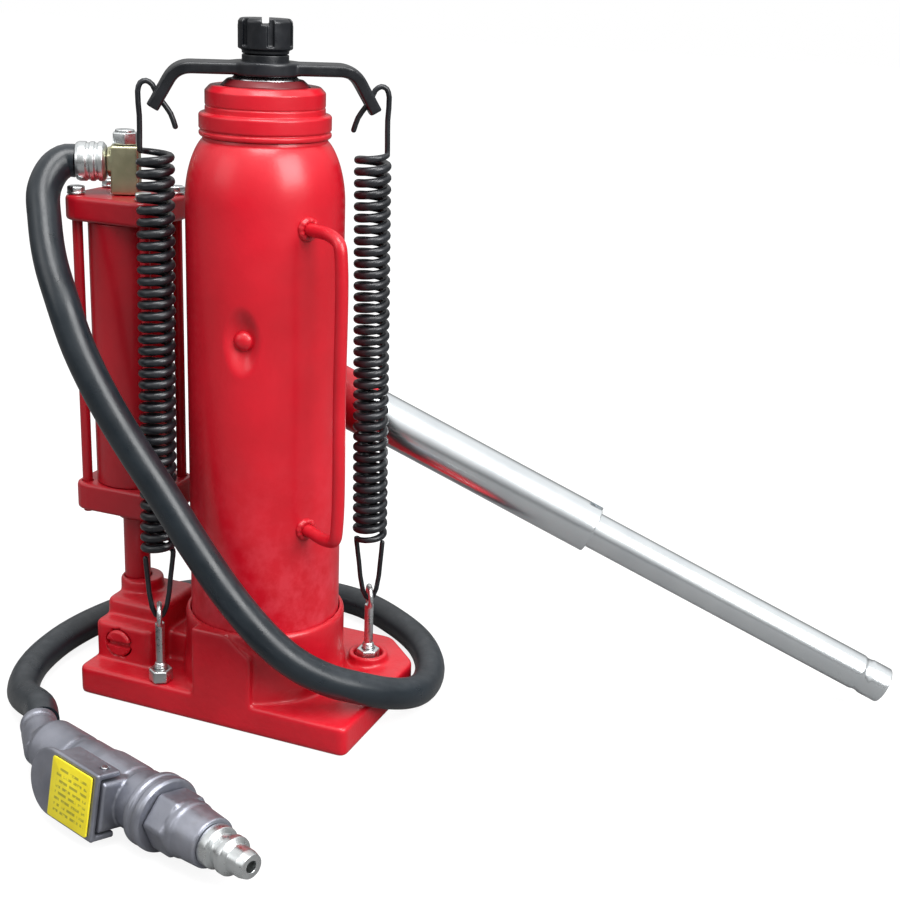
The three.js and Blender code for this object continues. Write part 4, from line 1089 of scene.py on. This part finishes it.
# %% Bottle
neck_high = ends_of("bottle")[1]
neck_radius = 26.0
wall = 3.0
shoulder_rise = 26.0
plug_place = centre("filler_plug")
plug_turn = math.atan2(plug_place[1], plug_place[0])
plug_height = plug_place[2]


def bottle_profile(radius, neck, top):
    """Straight wall, then r = neck + (radius - neck) (cos t)^1.5 and z = z0 + rise sin t."""
    start = top - shoulder_rise
    t = np.linspace(0, math.radians(84), 24)
    rows = np.concatenate([[seat_high], np.linspace(plug_height - 24, plug_height + 24, 65)])
    straight = np.stack([np.full(len(rows), radius), rows], -1)
    curve = np.stack([neck + (radius - neck) * np.cos(t) ** 1.5, start + shoulder_rise * np.sin(t)], -1)
    return np.concatenate([straight, curve, [[neck, neck_high]]])


outer_wall = bottle_profile(bottle_radius, neck_radius, neck_high - 1)
inner_wall = bottle_profile(bottle_radius - wall, neck_radius - wall, neck_high - 4)[::-1]
outline = np.concatenate([outer_wall, inner_wall])
angle = np.linspace(0, 2 * math.pi, 288, endpoint=False)
dish_wide, dish_tall, dish_deep = 8.6, 16.0, 3.6
around = (angle - plug_turn + math.pi) % (2 * math.pi) - math.pi
away = np.sqrt((around[None] * bottle_radius / dish_wide) ** 2
               + ((outline[:, 1:] - plug_height) / dish_tall) ** 2)
hollow = dish_deep * (0.5 + 0.5 * np.cos(math.pi * np.clip((away - 0.25) / 0.75, 0, 1)))
radius = outline[:, :1] - hollow
grid = np.stack([radius * np.cos(angle), radius * np.sin(angle), outline[:, 1:] + 0 * angle], -1)
plug_out = np.array([math.cos(plug_turn), math.sin(plug_turn), 0.0])
plug_axes = axes_along(plug_out)
bottle = as_object("oil_bottle", surface(grid, closed=True))
stand_in(bottle, "bottle", red_tube)
print("bottle is", round(2 * bottle_radius, 1), "mm across")

# %% Filler plug
plug_seat = plug_out * (bottle_radius - dish_deep) + up * plug_height
plug_shape = put(turned([(0, -1.2), (4.4, -1.2), (4.4, 0.4), (3.6, 1.8), (2.0, 2.8), (0, 3.2)], 0.7),
                 plug_seat, plug_axes)
plug = as_object("oil_plug", plug_shape)
stand_in(plug, "filler_plug", red_tube)
print("plug sits", round(plug_height, 1), "mm above the floor")

# %% Neck nut and wiper
nut_low, nut_high = ends_of("top_nut")
ring_high = nut_low + 9.6
ram_radius = 14.0
nut_bore = 15.5
nut = as_object("neck_nut", turned(
    [(nut_bore, nut_low), (27.0, nut_low), (27.6, nut_low + 0.7), (27.6, nut_low + 1.9),
     (26.7, nut_low + 2.6), (27.6, nut_low + 3.3), (27.6, ring_high - 0.8), (26.8, ring_high),
     (25.0, ring_high), (25.0, ring_high + 2.4), (24.5, ring_high + 2.8), (25.0, ring_high + 3.2),
     (25.0, nut_high - 2.2), (22.9, nut_high), (nut_bore + 3, nut_high), (nut_bore + 3, nut_high - 3),
     (nut_bore, nut_high - 3)], 0.45, sides=160, closed=True))
stand_in(nut, "top_nut", red_tube)
wiper = as_object("ram_wiper", turned(
    [(14.5, nut_high - 2.7), (18.2, nut_high - 2.7), (18.2, nut_high + 0.4), (15.8, nut_high + 2.6),
     (14.5, nut_high + 2.6)], 0.5, closed=True))
stand_in(wiper, "gland_ring")
print("nut is", round(nut_high - nut_low, 1), "mm tall")

# %% Ram, piston and seal
piston_low, piston_high = ends_of("ram_piston")
ram_high = ends_of("ram")[1]
screw_radius = 9.7
ram = as_object("ram_tube", turned(
    [(0, piston_high + 0.3), (ram_radius, piston_high + 0.3), (ram_radius, ram_high - 1.2),
     (ram_radius - 1.2, ram_high), (screw_radius + 0.5, ram_high), (screw_radius + 0.5, piston_high + 14),
     (0, piston_high + 14)], 0.3))
stand_in(ram, "ram")
piston = as_object("ram_head", turned(
    [(0, piston_low), (16.5, piston_low), (16.5, piston_low + 4), (14.1, piston_low + 4),
     (14.1, piston_low + 8), (16.5, piston_low + 8), (16.5, piston_high), (0, piston_high)], 0.3))
stand_in(piston, "ram_piston")
seal = as_object("ram_packing", ring(16.7, 14.4, piston_low + 4.3, piston_low + 7.7, 0.8))
stand_in(seal, "ram_seal")
cylinder_low, cylinder_high = ends_of("pressure_cylinder")
cylinder = as_object("inner_cylinder", turned(
    [(0, cylinder_low), (21, cylinder_low), (21, cylinder_high), (17, cylinder_high),
     (17, cylinder_low + 4), (0, cylinder_low + 4)], 0.3))
stand_in(cylinder, "pressure_cylinder")
print("ram stands from", ram_high, "mm")

# %% [markdown]
# ## The screw, the saddle and the crossbar
#
# The saddle sits on a screw that turns out of the ram to meet the vehicle. A thread is a surface
# whose radius depends on height and angle together: going once round climbs one pitch.


# %% Threads
def threaded(radius, depth, pitch, low, high, sides=48, rows_each=8):
    """r = radius - depth w, where w is a triangle wave of z / pitch - a / (2 pi)."""
    rows = int((high - low) / pitch * rows_each) + 2
    height = np.linspace(low, high, rows)[:, None]
    angle = np.linspace(0, 2 * math.pi, sides, endpoint=False)[None]
    wave = np.abs(((height / pitch - angle / (2 * math.pi)) % 1.0) * 2 - 1)
    run_out = np.clip(np.minimum(height - low, high - height) / pitch, 0, 1)
    reach = radius - depth * (1 - (1 - wave) * run_out)
    tips = np.zeros((1, sides))
    reach = np.concatenate([tips, reach, tips])
    height = np.concatenate([[[low]], height, [[high]]]) + 0 * angle
    return surface(np.stack([reach * np.cos(angle), reach * np.sin(angle), height], -1))


# %% Screw and saddle
saddle_low, saddle_high = ends_of("saddle")
saddle_radius = 11.3
screw_low = ends_of("extension_screw")[0]
screw_shapes = [threaded(screw_radius, 1.1, 5.0, screw_low, saddle_low - 20, sides=64),
                disc(screw_radius, saddle_low - 20.4, saddle_low - 0.3, 0.5)]
screw = as_object("lifting_screw", together(*screw_shapes))
stand_in(screw, "extension_screw")

pad = turned([(0, saddle_low), (saddle_radius - 1.6, saddle_low), (saddle_radius - 1.6, saddle_low + 1.4),
              (saddle_radius, saddle_low + 2.0), (saddle_radius, saddle_high - 1.2),
              (saddle_radius - 1, saddle_high), (0, saddle_high)], 0.4)
slots = [spun(block((saddle_radius - 1.5, -1.4, saddle_low + 3), (saddle_radius + 3, 1.4,
                                                                 saddle_high + 1), 0.3, 0.2), 60 * i + 10)
         for i in range(6)]
slots += [spun(block((-15, -1.5, saddle_high - 2.5), (15, 1.5, saddle_high + 1), 0.3, 0.2), turn)
          for turn in (29, -61)]
saddle = cast("slotted_saddle", [pad], slots, square=0.32, relax=2)
stand_in(saddle, "saddle")
print("saddle has", len(saddle.data.polygons), "faces")

# %% Crossbar: a rounded strip carried along a bent line, narrower to its ends
bar_low, bar_high = ends_of("crossbar")
bar_turn = math.radians(33)
bar_along = np.array([math.cos(bar_turn), math.sin(bar_turn), 0.0])
bar_beside = np.cross(up, bar_along)
strap_under = ram_high + 0.3
bar_tip, bar_bend = 46.1, 36.3
tip_height, strap_height = bar_low + 0.9, bar_high - 2.75
strap_path = softened([(-bar_tip, tip_height), (-bar_bend, strap_height), (bar_bend, strap_height),
                       (bar_tip, tip_height)], 6.0, steps=8)
steep = np.gradient(strap_path, axis=0)
steep /= np.linalg.norm(steep, axis=1, keepdims=True)
section = rectangle(-1, 1, -2.7, 2.7, 0.9)
half_width = np.interp(np.abs(strap_path[:, 0]), [34, bar_tip], [9.5, 4.8])[:, None, None]
sideward = (section[None, :, :1] * half_width) * bar_beside
lifted = section[None, :, 1:] * (steep[:, None, :1] * up - steep[:, None, 1:] * bar_along)
middle = strap_path[:, None, :1] * bar_along + strap_path[:, None, 1:] * up
strap_points, strap_faces = surface(middle + sideward + lifted)
round_count = len(section)
strap_faces += [list(range(round_count)),
                list(range(len(strap_points) - round_count, len(strap_points)))[::-1]]
strap = (strap_points, strap_faces)
hook_radius, hook_height = 45.0, bar_high - 15.0
bar_cutters = [disc(screw_radius + 0.3, 270, 300, 0.1)]
for sx in (-1, 1):
    bar_cutters.append(put(disc(2.6, -20, 20, 0.1), bar_along * sx * hook_radius + up * hook_height,
                           axes_along(bar_along)))
crossbar = cast("spring_bar", [strap, disc(15.2, strap_under, bar_high, 0.8)], bar_cutters,
                square=0.5, relax=3)
stand_in(crossbar, "crossbar")
print("crossbar has", len(crossbar.data.polygons), "faces")

# %% [markdown]
# ## The return springs
#
# Each spring is one wire. It starts at a short tail, hooks through the crossbar, comes down beside
# the coil, winds about 35 turns and ends in a long loop through an eye bolt. Winding a helix and
# adding hooks to it separately would leave a seam, so the points of the hook, the coil and the
# loop are put in one list and a single smooth line is drawn through them.


# %% Springs
spring_radius, spring_wire, hook_wire = 8.1, 3.7, 2.3
upper_hook, lower_hook = 22.0, 30.0
turns = 35.5
eye_centre_drop = 5.9


def spring_line(top, bottom, out, start, finish, upper, lower):
    """Points of the wire: (reach cos a, reach sin a) about the line from top to bottom."""
    down = unit(bottom - top)
    out = unit(out - (out @ down) * down)
    side = np.cross(down, out)
    reach = spring_radius - spring_wire / 2
    angle = np.linspace(0, turns * 2 * math.pi, int(turns * 16) + 1)[:, None]
    travel = start + (finish - start) * angle / angle[-1]
    coil = top + travel * down + reach * (np.cos(angle) * out + np.sin(angle) * side)
    hook = np.array([top + t * down + r * out for t, r in upper])
    loop = np.array([top + t * down + r * out for t, r in lower])
    line = flowing(np.concatenate([hook, coil, loop]), 2)
    place = np.arange(len(line)) / 2
    coil_ends = [len(hook), len(hook) + 10, len(hook) + len(coil) - 10, len(hook) + len(coil)]
    wire = np.interp(place, coil_ends, [hook_wire, spring_wire, spring_wire, hook_wire])
    return line, wire / 2


for side, sign in (("left", -1), ("right", 1)):
    eye_high = ends_of(side + "_eye_bolt")[1]
    eye = np.array([*eye_places[side], eye_high - eye_centre_drop])
    hole = bar_along * sign * hook_radius + up * hook_height
    long = float(np.linalg.norm(eye - hole))
    rim = spring_radius - spring_wire / 2
    first, last = upper_hook, long - lower_hook
    line, wire = spring_line(hole, eye, bar_along * sign, first, last,
                             [(12, -8.2), (7, -6.4), (3, -3.6), (-0.6, -0.9), (-4.4, 0.9),
                              (-5.9, 3.4), (-5.0, 5.7), (-1.5, 6.8), (first - 14, rim),
                              (first - 5, rim)],
                             [(last + 4, -rim + 0.3), (last + 12, -rim + 1.2), (long - 3.5, -3.2),
                              (long + 1.9, 0), (long - 3.5, 3.2), (last + 12, rim - 1.2),
                              (last + 3, rim - 0.4)])
    spring = as_object(side + "_return_spring", drawn(line, wire, sides=12))
    spring.data.materials.append(black_steel)
    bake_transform(spring)
    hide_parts(side + "_spring")
    print(side, "spring wire:", round(length_of(line)), "mm")

# %% [markdown]
# ### The eye bolts
#
# Each eye bolt is a threaded shank with a hoop on top, and a nut locks it in the base. The hoop is a
# circle drawn along a circle, and a fine skin of squares joins it to the shank as a weld would.

# %% Eye bolts and their nuts
hoop_radius, hoop_wire = 4.75, 1.2
for side in ("left", "right"):
    x, y = eye_places[side]
    eye_high = ends_of(side + "_eye_bolt")[1]
    middle = eye_high - eye_centre_drop
    turn = np.linspace(0, 2 * math.pi, 48, endpoint=False)[:, None]
    hoop = hoop_radius * (np.cos(turn) * bar_beside + np.sin(turn) * up)
    shank = [threaded(3.0, 0.45, 1.2, 6, 23, sides=32, rows_each=6), disc(2.1, 22, middle - 4.2, 0.3, 32)]
    bolt = cast(side + "_eye", [drawn(hoop + up * middle, hoop_wire, 14, closed=True), *shank], square=0.24,
                relax=1)
    bolt.data.transform(Matrix.Translation((x * mm, y * mm, 0)))
    stand_in(bolt, side + "_eye_bolt")
    eye_nut = machined(side + "_lock_nut", [put(pressed(hexagon(9.7, 0.7), 14.3, 20, rim=0.7), (x, y, 0))],
                       [put(disc(3.25, 10, 30, 0.1), (x, y, 0))])
    stand_in(eye_nut, side + "_eye_nut")
    print(side, "eye is centred", round(middle, 1), "mm above the floor")

# %% [markdown]
# ## The carrying handle
#
# A bent rod is welded to the bottle's wall. The welds are short ripples of metal round each leg:
# a circle drawn along the wall, whose thickness goes up and down as the welder moved.

# %% Handle rod and welds
carry_low, carry_high = ends_of("carry_handle")
carry_turn = math.radians(-30)
rod_radius = 2.7
upper_leg = carry_high - rod_radius
lower_leg = carry_low + rod_radius
grip_reach = bottle_radius + 24.5
carry_out = np.array([math.cos(carry_turn), math.sin(carry_turn), 0.0])
carry_points = []
for reach, height in [(bottle_radius + 0.1, upper_leg), (bottle_radius + 4, upper_leg),
                      (grip_reach - 9, upper_leg), (grip_reach - 2, upper_leg - 2.4),
                      (grip_reach, upper_leg - 11), (grip_reach, (upper_leg + lower_leg) / 2),
                      (grip_reach, lower_leg + 11), (grip_reach - 2, lower_leg + 2.4),
                      (grip_reach - 9, lower_leg), (bottle_radius + 4, lower_leg),
                      (bottle_radius + 0.1, lower_leg)]:
    carry_points.append(carry_out * reach + up * height)
grip = as_object("carrying_rod", drawn(flowing(carry_points, 10), rod_radius, 24, dome=False))
stand_in(grip, "carry_handle", red_tube)
weld_radius = 3.5
for name, height in (("upper_weld", upper_leg), ("lower_weld", lower_leg)):
    turn = np.linspace(0, 2 * math.pi, 120, endpoint=False)
    lean = carry_turn + weld_radius * np.cos(turn) / bottle_radius
    ripple = 1.5 + 0.07 * np.sin(turn * 11) + 0.14 * np.sin(turn * 3 + 1)
    bead = np.stack([(bottle_radius + 0.25) * np.cos(lean), (bottle_radius + 0.25) * np.sin(lean),
                     height + weld_radius * np.sin(turn)], -1)
    added(as_object(name, drawn(bead, ripple, 14, closed=True)), "carry_handle", red_casting)
print("handle reaches", grip_reach, "mm from the axis")

# %% [markdown]
# ## The hand pump behind the bottle
#
# The pump is a small cylinder with a plunger. The handle socket turns on a post and drives the
# plunger through a slotted head, so one stroke of the handle pushes one small gulp of oil under
# the ram.
#
# The cylinder is made twice here, in one place. The cell whose title says surplus can be taken out.

# %% The pump's ends
pump_low, pump_high = ends_of("pump_cylinder")
print("pump stands from", pump_low, "to", pump_high, "mm")

# %% Pump cylinder, the surplus one
pump = as_object("pump_tube", put(turned(
    [(6.0, pump_high), (6.0, pump_low + 3.7), (4, pump_low + 3.7), (4, pump_low), (7.5, pump_low),
     (7.5, 26.3), (9.5, 26.3), (9.5, 62), (8.8, 63), (8.8, 65), (9.5, 66), (9.5, pump_high - 1),
     (8.5, pump_high)], 0.3, closed=True), pump_centre))
stand_in(pump, "pump_cylinder", red_tube)

# %% Pump cylinder
plunger_radius = 5.5
pump = as_object("pump_tube", put(turned(
    [(6.0, pump_high), (6.0, pump_low + 3), (4, pump_low + 3), (4, pump_low), (7.5, pump_low),
     (7.5, pump_low + 16), (9.5, pump_low + 16), (9.5, pump_high - 13), (8.8, pump_high - 12.2),
     (8.8, pump_high - 10.2), (9.5, pump_high - 9.4), (9.5, pump_high - 1), (8.5, pump_high)], 0.3,
    closed=True), pump_centre))
stand_in(pump, "pump_cylinder")
print("plunger is", 2 * plunger_radius, "mm thick")

# %% [markdown]
# ### The linkage
#
# The pins and the socket's ears lie square to the handle, so its directions are worked out once,
# from the joint's own axis. The plunger's head has a long slot, because its pin swings along an arc while
# the plunger goes straight. The slot is cut, and the post and the socket are castings.

# %% Directions along the handle
handle_aim = joint_axis("handle_pull")
handle_aim = handle_aim * np.sign(handle_aim @ (centre("handle_extension") - centre("handle_tube")))
handle_axes = axes_along(handle_aim)
sideways = handle_axes[0]
tube_centre = centre("handle_tube")
socket_middle = tube_centre + handle_aim * (pump_x - tube_centre[0]) / handle_aim[0]
swing_pin, fulcrum = centre("plunger_pin"), centre("fulcrum_pin")
across_axes = axes_along(sideways)
eye_half = 5.9
pin_radius, pin_bore = 3.0, 3.3


def sideways_bar(place, radius, half, fillet=0.4):
    """A round bar through a place, sideways to the handle."""
    return put(disc(radius, -half, half, fillet, 64), place, across_axes)


def along_handle(shape):
    return put(shape, socket_middle, handle_axes)


print("handle turns from", socket_middle.round(1))

# %% Plunger and its seal
seal_low = ends_of("pump_seal")[0]
plunger_low = ends_of("pump_plunger")[0]
slot_radius = 4.1
head_outline = softened([(-8.6, -6.6), (8.6, -6.6), (8.6, 6.6), (-8.6, 6.6)], 6.4, closed=True, steps=8)
slot_outline = softened([(-6, -4.1), (6, -4.1), (6, 4.1), (-6, 4.1)], 4.0, closed=True, steps=8)
flat_axes = np.array([np.cross(up, sideways), up, np.cross(np.cross(up, sideways), up)])
plunger_rod = put(turned(
    [(0, plunger_low), (plunger_radius, plunger_low),
     (plunger_radius, seal_low - 0.3), (4.1, seal_low - 0.3), (4.1, seal_low + 2.7),
     (plunger_radius, seal_low + 2.7), (plunger_radius, swing_pin[2] - slot_radius - 0.5),
     (0, swing_pin[2] - slot_radius - 0.5)], 0.25), pump_centre)
plunger_head = put(pressed(head_outline, -eye_half, eye_half, 0.8), swing_pin, flat_axes)
plunger_slot = put(pressed(slot_outline, -9, 9, 0.1), swing_pin, flat_axes)
plunger = machined("pump_piston", [plunger_rod, plunger_head], [plunger_slot])
stand_in(plunger, "pump_plunger")
pump_packing = as_object("pump_packing", put(ring(5.8, 4.4, seal_low, seal_low + 2.4, 0.6),
                                             pump_centre))
stand_in(pump_packing, "pump_seal")
print("plunger reaches down to", plunger_low, "mm")

# %% Post, pins and socket
post = cast("pump_post", [put(turned([(0, 9.3), (4, 9.3), (4, 18.3), (4.6, 18.3), (4.6, fulcrum[2] - 3),
                                      (0, fulcrum[2] - 3)], 0.3), post_centre),
                          sideways_bar(fulcrum, 6.5, eye_half, 0.9)],
            [sideways_bar(fulcrum, pin_bore, eye_half + 2, 0.05)], square=0.4, relax=3)
stand_in(post, "fulcrum_post")
for name, node_name, place in (("swing_bolt", "plunger_pin", swing_pin),
                               ("post_bolt", "fulcrum_pin", fulcrum)):
    stand_in(as_object(name, sideways_bar(place, pin_radius, 11.4, 0.8)), node_name)

socket_radius, socket_start, socket_end = 13.4, -36.0, 50.0
ears = []
pin_drop = socket_radius + 10.4
slant = pin_drop * math.tan(math.acos(np.linalg.norm(handle_aim[:2])))
for low in (-eye_half - 4.3, eye_half + 0.3):
    ear = upright(softened([(-32 + slant, -pin_drop - 7), (9 + slant, -pin_drop - 7),
                            (9 + slant, -socket_radius + 2.5), (-32 + slant, -socket_radius + 2.5)],
                           5.5, closed=True, steps=6), low, low + 4, 0.7)
    ears.append(put(ear, socket_middle, np.array([handle_aim, sideways, np.cross(handle_aim, sideways)])))
socket_tube = along_handle(turned(
    [(0, socket_start), (socket_radius - 1.5, socket_start), (socket_radius, socket_start + 1.5),
     (socket_radius, socket_end - 0.4), (socket_radius - 0.4, socket_end), (0, socket_end)], 0.4))
socket_cuts = [along_handle(disc(11.95, socket_start + 16, socket_end + 5, 0.2))]
socket_cuts += [sideways_bar(place, pin_bore, 16, 0.05) for place in (swing_pin, fulcrum)]
socket = cast("handle_holder", [socket_tube, *ears], socket_cuts, square=0.5, relax=3)
stand_in(socket, "handle_socket", red_casting)
print("socket has", len(socket.data.polygons), "faces")

# %% [markdown]
# ## The handle in two tubes
#
# The handle is a thick tube that plugs into the socket and a thinner one that slides in it. Both
# are welded steel tube, zinc plated after cutting, so their ends are rounded and a fine lengthwise
# grain shows below the plating. A notch in the thick tube's end fits the release valve's head.


# %% Handle tubes
def handle_part(outer, inner, start, finish, neck=0.0):
    """A tube along the handle with rounded ends and, near its far end, a shallow rolled neck."""
    profile = [(inner, start), (outer, start), (outer, finish - 14), (outer - neck, finish - 12.5),
               (outer - neck, finish - 10.5), (outer, finish - 9), (outer, finish), (inner, finish)]
    return along_handle(turned(profile, 0.6, sides=128, closed=True))


tube_start, tube_end, tube_radius, tube_wall = -19.7, 170.3, 11.5, 2.0
inner_start, inner_end, inner_radius = 132.3, 327.3, 8.7
notch = along_handle(block((-2.2, 0, tube_end - 7), (2.2, tube_radius + 5, tube_end + 3), 0.4, 0.2))
handle = machined("thick_tube", [handle_part(tube_radius, tube_radius - tube_wall, tube_start, tube_end)],
                  [notch])
stand_in(handle, "handle_tube", zinc_tube)
extension = as_object("thin_tube", handle_part(inner_radius, inner_radius - tube_wall, inner_start,
                                               inner_end, 0.5))
stand_in(extension, "handle_extension", zinc_tube)
print("handle is", round(inner_end - tube_start), "mm long")

# %% [markdown]
# ## The air motor
#
# A light piston in the barrel hammers up and down and drives a thin rod into the oil. Two square
# caps hold the barrel between them, and four long tie bolts pull the caps together. The whole
# motor stands on a steel column at the left end of the base.

# %% Caps and barrel
spigot = 6
motor_low, motor_high = ends_of("motor_base")[0] + spigot, ends_of("motor_cap")[1]
end_gap = 0.3
barrel_low, barrel_high = ends_of("motor_barrel")[0] - end_gap, ends_of("motor_barrel")[1] + end_gap
barrel_radius = radius_of("motor_barrel")
tie_x, tie_y = barrel_radius, 13.0
tie_places = [(motor_x + sx * tie_x, motor_y + sy * tie_y) for sx, sy in
              ((-1, -1), (1, -1), (1, 1), (-1, 1))]
cap_half_x, cap_half_y = 22.5, 19
cap_outline = rectangle(motor_x - cap_half_x, motor_x + cap_half_x,
                        motor_y - cap_half_y, motor_y + cap_half_y, 8.5)


def tie_holes(low, high):
    return [put(disc(2.6, low, high, 0.05, 48), (x, y, 0)) for x, y in tie_places]


# The caps, barrel, tie rods and column take the motor's darker red, which is painted shade on the jack's one
# red enamel.
lower_cap = cast("lower_cap", [
    pressed(cap_outline, motor_low, barrel_low, 1.4),
    put(turned([(0, motor_low - 6), (7.6, motor_low - 6), (12.1, motor_low + 1),
                (0, motor_low + 1)], 0.8), motor_centre),
    put(disc(barrel_radius - 2.3, barrel_low - 1, barrel_low + 4), motor_centre)],
    [put(disc(6.4, motor_low - 8, motor_low + 4, 0.05), motor_centre),
     put(disc(3.5, motor_low - 8, barrel_low + 8, 0.05), motor_centre),
     *tie_holes(motor_low - 5, barrel_low + 1)], square=0.5, relax=3)
stand_in(lower_cap, "motor_base", red_motor_painted_shade)
upper_cap = cast("upper_cap", [
    pressed(cap_outline, barrel_high, motor_high, 1.6),
    put(disc(barrel_radius - 2.3, barrel_high - 3, barrel_high + 1), motor_centre)],
    [put(disc(5.3, motor_high - 6, motor_high + 5, 0.05), motor_centre),
     put(disc(2.0, barrel_high - 5, motor_high + 5, 0.05), motor_centre),
     *tie_holes(barrel_high - 1, motor_high + 5)], square=0.5, relax=3)
stand_in(upper_cap, "motor_cap", red_motor_painted_shade)
motor_tube = as_object("motor_tube", put(turned(
    [(barrel_radius - 2, barrel_low + end_gap), (barrel_radius, barrel_low + end_gap),
     (barrel_radius, barrel_high - end_gap), (barrel_radius - 2, barrel_high - end_gap)], 0.5, 144,
    closed=True), motor_centre))
stand_in(motor_tube, "motor_barrel", red_motor_painted_shade)
print("barrel is", round(2 * barrel_radius, 1), "mm across")

# %% Tie bolts: painted rods with bare heads
for number, (x, y) in enumerate(tie_places, 1):
    rod = as_object(f"tie_bolt_{number}", put(turned(
        [(0, motor_low - 2), (2.3, motor_low - 2), (2.3, motor_high + 1.3), (0, motor_high + 1.3)],
        0.4, 40), (x, y, 0)))
    stand_in(rod, f"tie_rod_{number}", red_motor_painted_shade)
    bolt_head = machined(f"tie_head_{number}", [
        put(spun(pressed(hexagon(6.9, 0.5), motor_high + 1.0, motor_high + 3.7, 0.6), 17 * number),
            (x, y, 0)),
        put(disc(4.0, motor_high + 0.3, motor_high + 1.2, 0.3, 48), (x, y, 0))])
    added(bolt_head, f"tie_rod_{number}", zinc_part)
print("tie bolts:", len(tie_places))

# %% [markdown]
# ### Inside the motor
#
# The column below carries the motor. The piston, its seal and the spring that returns it are
# closed in by the barrel. They move, so they are made as pieces of their own. The spring is wound
# over the height of the frame's spring and is not joined to the barrel's body or the piston's.

# %% Column, air piston, seal and return spring
column_low = ends_of("air_column")[0]
column = as_object("motor_column", put(turned(
    [(3.5, column_low + 2), (3.5, motor_low + 3.7), (6.1, motor_low + 3.7), (6.1, column_low),
     (3.5, column_low)], 0.3, 64,
    closed=True), motor_centre))
stand_in(column, "air_column", red_motor_painted_shade)
air_low, air_top = ends_of("air_piston")
air_radius = radius_of("air_piston")
air_piston = as_object("hammer_piston", put(turned(
    [(0, air_low), (3, air_low), (3, air_top - 10), (air_radius, air_top - 10),
     (air_radius, air_top - 7), (air_radius - 2.2, air_top - 7), (air_radius - 2.2, air_top - 3.5),
     (air_radius, air_top - 3.5), (air_radius, air_top), (0, air_top)], 0.25), motor_centre))
stand_in(air_piston, "air_piston")
air_seal_low, air_seal_high = ends_of("air_piston_seal")
air_seal = as_object("hammer_seal", put(ring(air_radius + 0.2, air_radius - 1.9, air_seal_low,
                                             air_seal_high, 0.7), motor_centre))
stand_in(air_seal, "air_piston_seal")
coil_low, coil_high = ends_of("air_return_spring")
coil_wire = 1.0
coil_turns = 12
coil_radius = radius_of("air_return_spring") - coil_wire
wind = np.linspace(0, coil_turns * 2 * math.pi, coil_turns * 24)
climb = coil_low + coil_wire + (coil_high - coil_low - 2 * coil_wire) * wind / wind[-1]
coil_line = np.stack([motor_x + coil_radius * np.cos(wind), motor_y + coil_radius * np.sin(wind),
                      climb], -1)
coil = as_object("hammer_spring", drawn(coil_line, coil_wire, 10))
coil.data.materials.append(ground_steel)
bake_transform(coil)
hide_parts("air_return_spring")
print("air motor stands from", motor_low, "to", motor_high, "mm")

# %% [markdown]
# ## The release valve
#
# A slotted screw in the base lets the oil back, and the ram comes down. It is turned, and its slot
# is cut across the head. Its axis points to the front, so the turned shape is laid on its side.

# %% Release valve
release = machined("release_screw", [
    put(turned([(0, -1), (5.5, -1), (6.5, 0), (6.5, 7.7), (5, 7.7), (5, 19), (4.3, 19.7), (0, 19.7)],
               0.3), release_place, into_front)],
    [put(block((-9, -1.6, -3), (9, 1.6, 2.2), 0.3, 0.2), release_place, into_front)])
stand_in(release, "release_valve")
print("release valve sits at", release_place.round(1))
